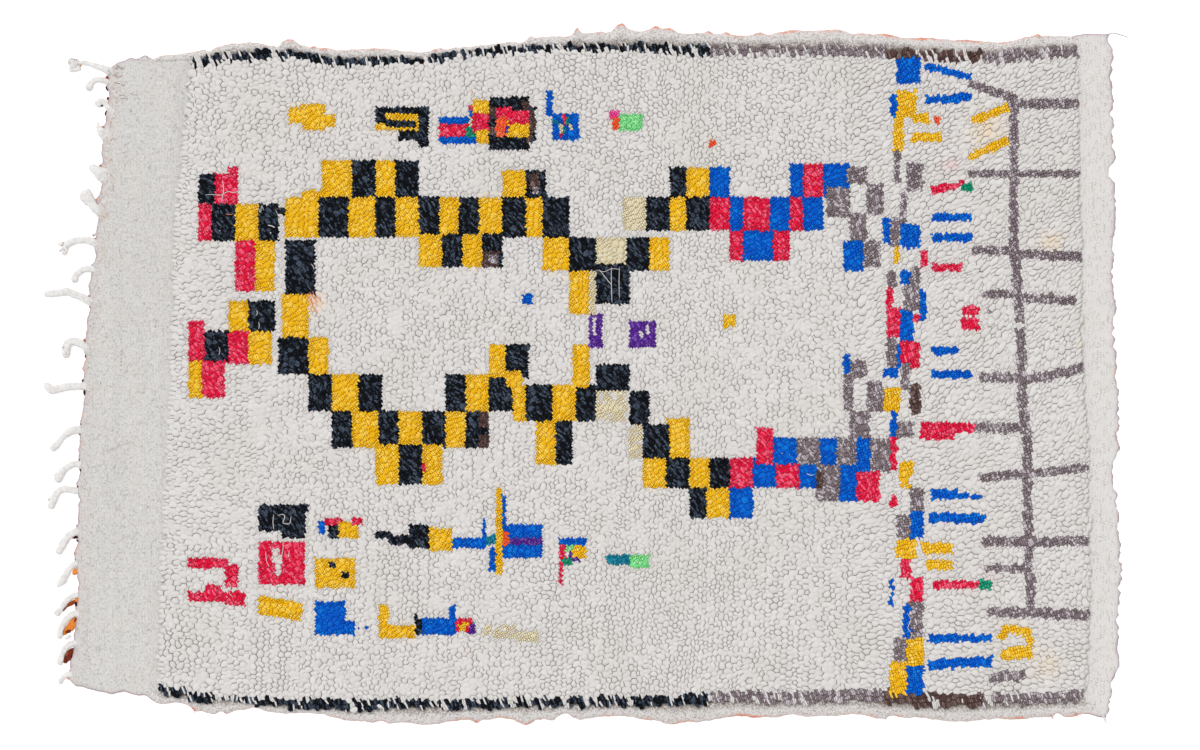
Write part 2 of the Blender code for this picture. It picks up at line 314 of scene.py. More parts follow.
def body_lines(left_end):
    """The near, right and far edges of the woven body, drawn out at the left to the strip's outer edge."""
    points = points_of("rug_body")
    ring = np.unique(points[points[:, 2] < 0.1 * MM][:, :2].round(5), axis=0)
    middle = (ring.min(axis=0) + ring.max(axis=0)) / 2
    ring = ring[np.argsort(np.arctan2(ring[:, 1] - middle[1], ring[:, 0] - middle[0]))]
    corner = [int(np.argmin(np.abs(ring - place).sum(axis=1))) for place in (
        (ring[:, 0].min(), ring[:, 1].min()),
        (ring[:, 0].max(), ring[:, 1].min()),
        (ring[:, 0].max(), ring[:, 1].max()),
        (ring[:, 0].min(), ring[:, 1].max()),
    )]
    near = ring[corner[0]:corner[1] + 1]
    right = ring[corner[1]:corner[2] + 1][:, ::-1]
    far = ring[corner[2]:corner[3] + 1][::-1]
    near = np.vstack([left_end[0][::-1], near])
    far = np.vstack([left_end[-1][::-1], far])
    return near[np.argsort(near[:, 0])], right[np.argsort(right[:, 0])], far[np.argsort(far[:, 0])]


def read(line, places):
    """Reads a line at the given places."""
    return np.interp(places, line[:, 0], line[:, 1])


def ripples(x, y, across, layer=0.0):
    """Soft random bumps from -1 to 1, about so far across, at each place. Each layer has its own."""
    flat = zip(np.ravel(x) / across, np.ravel(y) / across)
    return np.array([noise.noise(Vector((px, py, layer))) for px, py in flat]).reshape(np.shape(x)) * 1.6


def with_lobes(line, lobes, side, proud):
    """Sets an edge out a little, lets it swell out or draw in at each lobe, and makes it waver all along."""
    along = np.linspace(line[0, 0], line[-1, 0], round((line[-1, 0] - line[0, 0]) / (1.5 * MM)))
    out = read(line, along) + side * proud + 0.8 * MM * ripples(along, along * 0, 11 * MM, side * 3.0)
    for place, reach, half in lobes:
        out += side * reach * MM * np.exp(-np.abs((along - place * MM) / (half * MM)) ** 2.6)
    return np.column_stack([along, out])


left_edge = left_line()
near_edge, right_edge, far_edge = body_lines(left_edge)
near_edge = with_lobes(near_edge, NEAR_LOBES, -1, FUZZ)
far_edge = with_lobes(far_edge, FAR_LOBES, 1, FUZZ)
right_edge = with_lobes(right_edge, RIGHT_LOBES, 1, FUZZ)
left_edge = with_lobes(left_edge, LEFT_LOBES, -1, 0.0)
pile_left = np.array(PILE_LEFT) * MM
pile_right = np.array(PILE_RIGHT) * MM


def cloth_columns():
    """The lattice's columns: the two lines that each lies between, and its share of the way."""
    columns = []
    for line_from, line_to, step in (
        (left_edge, pile_left, BARE_STEP),
        (pile_left, pile_right, COVERED_STEP),
        (pile_right, right_edge, BARE_STEP),
    ):
        count = round((line_to[:, 1].mean() - line_from[:, 1].mean()) / step)
        columns += [(line_from, line_to, k / count) for k in range(count)]
    return columns + [(pile_right, right_edge, 1.0)]


def lattice(columns, shares):
    """The x and y where the columns cross rows at the given shares of the way from the near edge."""
    x = np.zeros((len(columns), len(shares)))
    y = np.zeros_like(x)
    settle_turns = 6
    for _ in range(settle_turns):
        past_ends = np.minimum(x - pile_left[:, 1].mean(), pile_right[:, 1].min() - x)
        under = UNDER_SELVEDGE * np.clip(past_ends / UNDER_REACH, 0, 1)
        near = read(near_edge, x) + under
        y = near + (read(far_edge, x) - under - near) * shares
        for i, (line_from, line_to, share) in enumerate(columns):
            start = read(line_from, y[i])
            x[i] = start + (read(line_to, y[i]) - start) * share
    return x, y


def grid_faces(rows, columns):
    """The quads of a grid whose points run along its columns first, facing up."""
    i, j = np.meshgrid(np.arange(rows - 1), np.arange(columns - 1), indexing="ij")
    first = (i * columns + j).ravel()
    return np.stack([first, first + columns, first + columns + 1, first + 1], axis=1).tolist()


def finished(name, mesh, material, slot, *nodes):
    """Puts a finished mesh in the scene as a piece of the rug that stands for the given nodes."""
    mesh.materials.clear()
    mesh.materials.append(material)
    piece = bpy.data.objects.new(name, mesh)
    scene.collection.objects.link(piece)
    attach(piece, "root")
    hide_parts(*nodes)
    return piece


def mesh_of(name, points, faces):
    mesh = bpy.data.meshes.new(name)
    mesh.from_pydata(np.asarray(points).tolist(), [], faces)
    mesh.shade_smooth()
    return mesh


def note(mesh, name, values):
    """Writes one number for each point of a mesh."""
    mesh.attributes.new(name, "FLOAT", "POINT").data.foreach_set("value", np.ravel(values).astype(np.float32))


class Signal:
    """A value on its way through the nodes of a tree. Python's operators add the tree's Math nodes."""

    def __init__(self, bench, socket):
        self.bench = bench
        self.socket = socket

    def __add__(self, other):
        return self.bench.math("ADD", self, other)

    def __sub__(self, other):
        return self.bench.math("SUBTRACT", self, other)

    def __rsub__(self, other):
        return self.bench.math("SUBTRACT", other, self)

    def __mul__(self, other):
        return self.bench.math("MULTIPLY", self, other)

    def __truediv__(self, other):
        return self.bench.math("DIVIDE", self, other)

    def __pow__(self, other):
        return self.bench.math("POWER", self, other)

    __radd__ = __add__
    __rmul__ = __mul__


class Bench:
    """A tree under construction, of a material or of Geometry Nodes."""

    def __init__(self, tree):
        self.tree = tree
        tree.nodes.clear()

    def node(self, kind, sockets=None, out=0, stops=None, **settings):
        """Adds a node: its settings first, then the values or links of its sockets. Gives back one output."""
        made = self.tree.nodes.new(kind)
        for name, value in settings.items():
            setattr(made, name, value)
        for place, colour in stops or ():
            made.color_ramp.elements.new(place).color = (*colour, 1.0)
        if stops:
            made.color_ramp.elements.remove(made.color_ramp.elements[0])
            made.color_ramp.elements.remove(made.color_ramp.elements[-1])
        for name, value in (sockets or {}).items():
            if isinstance(value, Signal):
                self.tree.links.new(value.socket, made.inputs[name])
            else:
                made.inputs[name].default_value = value
        return Signal(self, made.outputs[out]) if len(made.outputs) else None

    def math(self, operation, *values):
        return self.node("ShaderNodeMath", dict(enumerate(values)), operation=operation)

    def blend(self, share, first, second):
        """Mixes two colours by a share."""
        return self.node("ShaderNodeMix", {0: share, 6: first, 7: second}, out=2, data_type="RGBA")

    def grain(self, place, scale, detail=2.0, stretch=(1.0, 1.0, 1.0)):
        """Noise from 0 to 1 with so many bumps to the metre, stretched along the axes."""
        vector = self.node("ShaderNodeMapping", {"Vector": place, "Scale": stretch})
        return self.node("ShaderNodeTexNoise", {"Vector": vector, "Scale": scale, "Detail": detail})

    def crease(self, place, scale, width, stretch=(1.0, 1.0, 1.0)):
        """Thin winding lines, where noise passes through its middle value, broken up into short ones."""
        off = self.math("ABSOLUTE", self.grain(place, scale, 2.0, stretch) - 0.5)
        return (1.0 - self.ramp(off, 0.0, width)) * self.ramp(self.grain(place, scale * 1.3, 1.0), 0.46, 0.58)

    def noted(self, name):
        return self.node("ShaderNodeAttribute", out="Fac", attribute_name=name)

    def ramp(self, value, low, high):
        """How far a value is from low to high, from 0 to 1."""
        return self.node("ShaderNodeMapRange", {0: value, 1: low, 2: high}, interpolation_type="SMOOTHSTEP")


def paint(*screen):
    """A colour given as on a screen, from 0 to 255, in the shader's linear terms."""
    tones = [tone / 255 for tone in screen]
    linear = [t / 12.92 if t <= 0.04045 else ((t + 0.055) / 1.055) ** 2.4 for t in tones]
    return (*linear, 1.0)


def wool_material(name, colour_of, bump_of, bump_depth, sheen=0.15):
    """Matt wool: a function gives its colour, another its height, and a faint sheen stands for its fuzz."""
    material = bpy.data.materials.new(name)
    material.use_nodes = True
    bench = Bench(material.node_tree)
    place = bench.node("ShaderNodeTexCoord", out="Object")
    relief = {"Strength": 1.0, "Distance": bump_depth, "Height": bump_of(bench, place)}
    normal = bench.node("ShaderNodeBump", relief)
    shader = bench.node("ShaderNodeBsdfPrincipled", {
        "Base Color": colour_of(bench, place),
        "Roughness": 0.95,
        "Specular IOR Level": 0.15,
        "Sheen Weight": sheen,
        "Sheen Roughness": 0.6,
        "Normal": normal,
    })
    bench.node("ShaderNodeOutputMaterial", {"Surface": shader})
    return material


WEFT_PITCH = 2.3 * MM
WARP_PITCH = 3.4 * MM
DOT_PITCH_X = 5.6 * MM
DOT_PITCH_Y = 3.9 * MM


def weave_height(bench, place):
    """Wefts lie side by side across the rug and dip under every second warp. Loose fibres blur them."""
    wander = bench.grain(place, 160.0)
    split = {"Vector": place}
    x = bench.node("ShaderNodeSeparateXYZ", split, out="X") + wander * (2.2 * MM)
    y = bench.node("ShaderNodeSeparateXYZ", split, out="Y") + wander * (2.6 * MM)
    weft = x / WEFT_PITCH
    ridge = bench.math("ABSOLUTE", bench.math("SINE", weft * math.pi)) ** 0.6
    over = y / WARP_PITCH + bench.math("FLOOR", weft) * 0.5
    bead = bench.math("ABSOLUTE", bench.math("SINE", over * math.pi)) * 0.5 + 0.5
    slub = bench.grain(place, 190.0, 3.0, (1.0, 0.45, 1.0))
    fuzz = bench.grain(place, 900.0, 3.0)
    vein = bench.crease(place, 48.0, 0.03, (1.0, 0.6, 1.0))
    return ridge * bead * 0.45 + slub * 0.9 + fuzz * 0.5 + vein * 0.7


def weave_colour(bench, place):
    """Off-white wool with grey mottling, creases of painted shade and hairs, brown painted shade under the
    pile and mauve at its rim.
    """
    streak = bench.grain(place, 55.0, 3.0, (1.0, 0.06, 1.0))
    mottle = bench.grain(place, 330.0, 4.0, (1.0, 0.8, 1.0))
    yellowed = bench.ramp(bench.grain(place, 26.0, 2.0), 0.45, 0.8)
    hairs = bench.crease(place, 150.0, 0.03, (0.5, 1.0, 1.0))
    colour = bench.blend(bench.ramp(streak, 0.35, 0.75) * 0.5, paint(214, 212, 210), paint(203, 201, 198))
    colour = bench.blend(bench.ramp(mottle, 0.46, 0.68) * 0.65, colour, paint(180, 175, 170))
    colour = bench.blend(yellowed * 0.4, colour, paint(212, 204, 196))
    # Grey lines of painted shade stand for the creases in the cloth
    colour = bench.blend(bench.crease(place, 85.0, 0.022) * 0.65, colour, paint(158, 146, 140))
    colour = bench.blend(hairs * 0.5, colour, paint(232, 231, 230))
    x = bench.node("ShaderNodeSeparateXYZ", {"Vector": place}, out="X")
    right_end = bench.ramp(x, 0.70, 0.76)
    colour = bench.blend(right_end, colour, right_weave_colour(bench, place))
    worn = bench.noted("worn") * bench.ramp(bench.grain(place, 170.0, 3.0), 0.46, 0.66)
    colour = bench.blend(worn * 0.6, colour, paint(196, 172, 158))
    speck = bench.noted("worn") * bench.ramp(bench.grain(place, 230.0, 1.0), 0.62, 0.70)
    colour = bench.blend(speck * 0.7, colour, paint(188, 132, 102))
    rosy = bench.ramp(bench.grain(place, 45.0, 2.0), 0.54, 0.68)
    rim_paint = bench.blend(rosy, paint(166, 140, 158), paint(206, 134, 114))
    colour = bench.blend(bench.noted("rim") * 0.85, colour, rim_paint)
    # Under the pile the cloth is painted brown as shade, which shows in the gaps between the tufts
    return bench.blend(bench.noted("shade_under_pile"), colour, paint(128, 112, 104))


def right_weave_colour(bench, place):
    """The narrow band at the right end is brighter, and its wefts show as rows of small dots of painted shade
    in the dents between them.
    """
    split = {"Vector": place}
    wander = bench.grain(place, 60.0, 3.0)
    x = bench.node("ShaderNodeSeparateXYZ", split, out="X") + wander * (16.0 * MM)
    y = bench.node("ShaderNodeSeparateXYZ", split, out="Y") + wander * (6.0 * MM)
    row = bench.math("FLOOR", x / DOT_PITCH_X)
    dent_x = bench.math("ABSOLUTE", bench.math("SINE", x / DOT_PITCH_X * math.pi))
    dent_y = bench.math("ABSOLUTE", bench.math("SINE", (y / DOT_PITCH_Y + row * 0.5) * math.pi))
    # The dots are painted shade in the dents between the wefts
    dot = (1.0 - bench.ramp(dent_x, 0.55, 1.0)) * (1.0 - bench.ramp(dent_y, 0.15, 0.75))
    patchy = bench.ramp(bench.grain(place, 150.0, 2.0), 0.44, 0.64)
    colour = bench.blend(bench.grain(place, 40.0, 3.0), paint(224, 221, 219), paint(216, 213, 210))
    yellowed = bench.ramp(bench.grain(place, 17.0, 2.0), 0.5, 0.8)
    colour = bench.blend(yellowed * 0.3, colour, paint(220, 210, 194))
    return bench.blend(dot * patchy * 0.85, colour, paint(156, 140, 132))


cloth_wool = wool_material("ground_wool", weave_colour, weave_height, 0.9 * MM)
columns = cloth_columns()
shares = np.linspace(0.0, 1.0, round((far_edge[:, 1].mean() - near_edge[:, 1].mean()) / BARE_STEP) + 1)
x, y = lattice(columns, shares)
outward = np.zeros_like(x)
outward[0] = -1.0
outward[-1] = 1.0
rim = np.minimum(x - read(left_edge, y), read(right_edge, y) - x)
rim = np.minimum(rim, np.minimum(y - read(near_edge, x), read(far_edge, x) - y))
x += outward * 0.7 * MM * ripples(x, y, 5 * MM, 4.0)
x[-1] += SCALLOP * (0.4 - np.abs(ripples(y[-1] * 0, y[-1], 11 * MM, 4.5)))
height = CLOTH + 0.45 * MM * ripples(x, y, 42 * MM) + 0.28 * MM * ripples(x, y, 9 * MM, 1.0)
height += 0.22 * MM * ripples(x, y / 3, 5 * MM, 2.0)
# The cloth thins out at its rim, but not where a cord grows out of it
edge_drop = np.exp(-np.maximum(rim, 0.0) / (1.6 * MM))
for root in CORDS:
    edge_drop *= 1.0 - (x < -0.6) * np.exp(-(((y - root[0][1] * MM) / (0.45 * root[0][2] * MM)) ** 4))
height -= (CLOTH - RIM) * edge_drop
worn = np.exp(-(((x - read(left_edge, y) - WORN_FROM_EDGE) / WORN_HALF) ** 2))
worn *= np.interp(y, (0.0, 0.28), (0.35, 1.0))
rows_count = len(shares)
top = np.stack([x, y, height], axis=-1).reshape(-1, 3)
# A ring on the floor runs round below the rim, with walls up to it
order = (
    [i * rows_count for i in range(len(columns))]
    + [(len(columns) - 1) * rows_count + j for j in range(1, rows_count)]
    + [i * rows_count + rows_count - 1 for i in range(len(columns) - 2, -1, -1)]
    + [j for j in range(rows_count - 2, 0, -1)]
)
foot = top[order] * (1.0, 1.0, 0.0)
feet = list(range(len(top), len(top) + len(order)))
faces = grid_faces(len(columns), rows_count)
for k in range(len(order)):
    after = (k + 1) % len(order)
    faces.append([order[k], feet[k], feet[after], order[after]])
faces.append(feet[::-1])
cloth_mesh = mesh_of("ground_cloth", np.vstack([top, foot]), faces)
# Painted shade under the pile: how far in under it each point of the cloth lies
shade_under_pile = np.clip(np.minimum(x - read(pile_left, y), read(pile_right, y) - x) / (8 * MM) - 0.3, 0.0, 1.0)
note(cloth_mesh, "shade_under_pile", np.append(shade_under_pile.ravel(), shade_under_pile.ravel()[order]))
note(cloth_mesh, "rim", np.append(edge_drop.ravel(), edge_drop.ravel()[order]))
note(cloth_mesh, "worn", np.append(worn.ravel(), worn.ravel()[order]))
ground_cloth = finished("ground_cloth", cloth_mesh, cloth_wool, "ground_cloth", "rug_body", "left_fringe")

# Selvedges
# Along both long edges the outermost warps are bound by wefts that turn round them. The wool there has
# felted into a soft lumpy band that stands a little higher than the bare cloth.
SELVEDGE = 5.5 * MM
SELVEDGE_STEP = 2.2 * MM
SELVEDGE_ACROSS = 15
SELVEDGE_FROM = -650 * MM
SELVEDGE_PAST_PILE = 16 * MM
SELVEDGE_UNDER_PILE = 8 * MM

# The dark line of pile beside each selvedge, in millimetres: its middle and how thick it is
#             x     y  thick
FAR_LINE = (
    (-582, 474, 14),
    (-522, 484, 15),
    (-424, 486, 12),
    (-372, 475, 15),
    (-254, 477, 8),
    (-214, 481, 12),
    (-162, 488, 12),
    (-124, 492, 12),
    (-64, 494, 10),
    (26, 497, 10),
    (101, 496, 12),
    (176, 492, 16),
    (326, 492, 14),
    (476, 488, 20),
    (566, 481, 15),
    (626, 482, 18),
    (731, 490, 15),
)
#             x     y  thick
NEAR_LINE = (
    (-634, -468, 12),
    (-574, -480, 12),
    (-529, -484, 10),
    (-424, -490, 15),
    (-334, -492, 18),
    (-274, -490, 14),
    (-199, -492, 15),
    (-124, -490, 14),
    (26, -486, 15),
    (86, -486, 16),
    (176, -483, 16),
    (236, -480, 18),
    (326, -480, 18),
    (401, -478, 18),
    (476, -480, 22),
    (551, -484, 20),
    (626, -484, 18),
    (754, -478, 18),
)
far_line = np.array(FAR_LINE) * MM
near_line = np.array(NEAR_LINE) * MM
pile_far = np.column_stack([far_line[:, 0], far_line[:, 1] + far_line[:, 2] / 2])
pile_near = np.column_stack([near_line[:, 0], near_line[:, 1] - near_line[:, 2] / 2])


def felt_height(bench, place):
    lump = bench.grain(place, 170.0, 3.0, (1.0, 0.6, 1.0))
    fuzz = bench.grain(place, 700.0, 3.0)
    return lump + fuzz * 0.6


def felt_colour(bench, place):
    """Off-white felt with grey creases of painted shade, painted shade where it runs in under the pile, and a
    thin rim where wear shows a pink-orange core.
    """
    mottle = bench.grain(place, 360.0, 4.0)
    creases = bench.crease(place, 210.0, 0.05, (0.6, 1.0, 1.0))
    colour = bench.blend(bench.ramp(mottle, 0.46, 0.72), paint(217, 214, 212), paint(174, 166, 160))
    # Grey creases of painted shade
    colour = bench.blend(creases * 0.7, colour, paint(132, 118, 110))
    # Painted shade on the side of the band towards the taller pile
    colour = bench.blend(bench.noted("inner") * bench.ramp(mottle, 0.34, 0.62), colour, paint(140, 126, 116))
    worn = bench.ramp(bench.grain(place, 32.0, 2.0), 0.48, 0.66)
    rim_paint = bench.blend(worn, paint(204, 172, 168), paint(216, 132, 92))
    colour = bench.blend(bench.noted("rim") * (worn * 0.3 + 0.65), colour, rim_paint)
    spot = bench.noted("spot") * bench.ramp(bench.grain(place, 150.0, 2.0, (0.6, 1.0, 1.0)), 0.34, 0.52)
    return bench.blend(spot, colour, paint(222, 112, 66))


selvedge_wool = wool_material("selvedge_wool", felt_colour, felt_height, 1.0 * MM)


def selvedge(name, edge, pile_edge, lobes, side):
    """A band from the rug's edge to the pile: a low soft ridge, uneven and creased across."""
    low = SELVEDGE_FROM
    high = pile_edge[-1, 0] + SELVEDGE_PAST_PILE
    along = np.linspace(low, high, round((high - low) / SELVEDGE_STEP))
    share = np.linspace(0.0, 1.0, SELVEDGE_ACROSS) ** 1.3
    outer = read(edge, along) + side * 0.5 * MM * ripples(along, along * 0, 6 * MM, 5.0)
    inner = read(pile_edge, along) - side * SELVEDGE_UNDER_PILE
    x = np.repeat(along[:, None], SELVEDGE_ACROSS, axis=1)
    y = outer[:, None] + (inner - outer)[:, None] * share
    x = x + 1.5 * MM * ripples(x, y, 8 * MM, 6.0)
    profile = np.sin(np.pi * np.clip(share * 1.02, 0.0, 1.0)) ** 0.45
    from_ends = np.minimum(along - low, high - along)
    ends = np.clip(from_ends / SELVEDGE_PAST_PILE, 0.0, 1.0)
    profile = profile * (0.45 + 0.55 * ends[:, None] ** 0.7)
    lumps = 1.0 + 0.25 * ripples(x, y, 17 * MM, 7.0) + 0.16 * ripples(x, y, 5 * MM, 8.0)
    wraps = 0.10 * np.sin(2 * np.pi * (x + side * 0.7 * y) / (6.5 * MM) + 2 * ripples(x, y, 25 * MM, 9.0))
    z = 0.4 * MM + SELVEDGE * profile * (lumps + wraps)
    mesh = mesh_of(name, np.stack([x, y, z], axis=-1).reshape(-1, 3), grid_faces(len(along), SELVEDGE_ACROSS))
    if side < 0:
        mesh.flip_normals()
    rim_wide = 0.07 + 0.04 * ripples(along, along * 0, 22 * MM, 43.0)
    note(mesh, "rim", np.exp(-share[None, :] / rim_wide[:, None]))
    # How much painted shade the band takes on its side towards the pile
    past_pile = np.minimum(along - pile_edge[0, 0], pile_edge[-1, 0] - along)
    by_pile = np.clip(past_pile / (6 * MM) + 1.0, 0.0, 1.0)
    note(mesh, "inner", by_pile[:, None] * np.clip((share - 0.42) / 0.3, 0.0, 0.8))
    # The coloured core shows where the edge swells out
    spot = np.zeros(len(along))
    for place, reach, half in lobes:
        if reach > 2:
            spot += np.exp(-(((along - place * MM) / (0.7 * half * MM)) ** 2))
    band = np.exp(-(((np.abs(y - outer[:, None]) - 2.4 * MM) / (1.6 * MM)) ** 2))
    note(mesh, "spot", np.clip(spot, 0.0, 1.0)[:, None] * band * 0.9)
    return finished(name, mesh, selvedge_wool, "ground_cloth", "rug_body")


far_selvedge = selvedge("far_selvedge", far_edge, pile_far, FAR_LOBES, 1)
near_selvedge = selvedge("near_selvedge", near_edge, pile_near, NEAR_LOBES, -1)

# Pile
# Rows of knots are tied across the cloth, one in each turn of the weaving. Wear has felted each white knot
# to one flat tuft with a crease round it. The ends of dyed knots have kept apart and lie slanting.
#               x  pitch of the rows, in millimetres
ROW_PITCHES = (
    (-640, 9.4),
    (-500, 9.0),
    (-420, 7.8),
    (30, 7.6),
    (70, 6.6),
    (190, 6.6),
    (240, 8.0),
    (380, 8.6),
    (420, 11.4),
    (660, 11.4),
    (710, 9.8),
    (760, 9.4),
)
#               x  pitch of the knots in a row, in millimetres
KNOT_PITCHES = (
    (-640, 7.0),
    (-420, 7.6),
    (380, 7.6),
    (420, 6.9),
    (760, 6.7),
)
WIDE_ROWS_FROM = 405.0 * MM
PILE_TOP = 12.0 * MM
END_BROAD = 2.8 * MM
END_BROAD_IN_WIDE_ROWS = 4.4 * MM
KNOTS_REACH = 0.535
PILE_INSET = 2.5 * MM

# The courses of knotted blocks, in millimetres: the two heights that a course lies between, its dyes from
# left to right, and the lines between its blocks
COURSES = (
    (260, 305, "KR", (-575, -550, -515)),
    (205, 260, "RKYK", (-575, -555, -520, -485, -455)),
    (130, 205, "RY", (-520, -490, -460)),
    (70, 115, "YK", (-530, -500, -460)),
    (20, 70, "RKRY", (-590, -565, -530, -500, -465)),
    (-30, 25, "YR", (-590, -570, -535)),
    (270, 325, "YKYK", (-390, -345, -310, -280, -245)),
    (270, 310, "YK", (-120, -85, -55)),
    (210, 270, "YKYKYKYKYKYK", (-445, -395, -350, -310, -280, -245, -215, -185, -155, -120, -85, -60, -20)),
    (165, 215, "YKYK", (-245, -210, -180, -150, -120)),
    (160, 210, "YKTKY", (-60, -20, 20, 65, 100, 130)),
    (125, 205, "K", (-445, -400)),
    (60, 125, "Y", (-450, -410)),
    (5, 60, "KY", (-455, -410, -380)),
    (-50, 5, "KYK", (-410, -375, -335, -300)),
    (-105, -50, "KYKYKYK", (-375, -345, -305, -275, -240, -205, -175, -140)),
    (-160, -100, "YKY", (-310, -275, -240, -210)),
    (-50, 5, "KYK", (-205, -175, -140, -105)),
    (0, 50, "YK", (-140, -115, -80)),
    (-65, -10, "YKYKT", (-105, -85, -45, -10, 20, 65)),
    (-130, -65, "YK", (-70, -40, -15)),
    (-80, -20, "K", (70, 100)),
    (95, 160, "YT", (-20, 10, 20)),
    (110, 170, "K", (20, 70)),
    (-15, 50, "Y", (-15, 10)),
    (-20, 20, "K", (20, 70)),
    (265, 315, "KYB", (130, 155, 190, 220)),
    (270, 320, "BRB", (310, 330, 360, 400)),
    (220, 270, "TKYKRBRBRB", (60, 95, 130, 155, 190, 220, 240, 280, 310, 330, 360)),
    (175, 220, "RBR", (220, 240, 285, 310)),
    (-120, -70, "TKY", (70, 90, 130, 160)),
    (-165, -120, "YKYKRBRB", (90, 125, 160, 190, 220, 255, 290, 325, 350)),
    (-185, -130, "GBR", (350, 385, 410, 445)),
    (-130, -90, "RBGBG", (260, 285, 320, 355, 380, 415)),
    (-140, -90, "BGR", (410, 430, 460, 470)),
    (-210, -165, "KYB", (160, 185, 220, 255)),
)

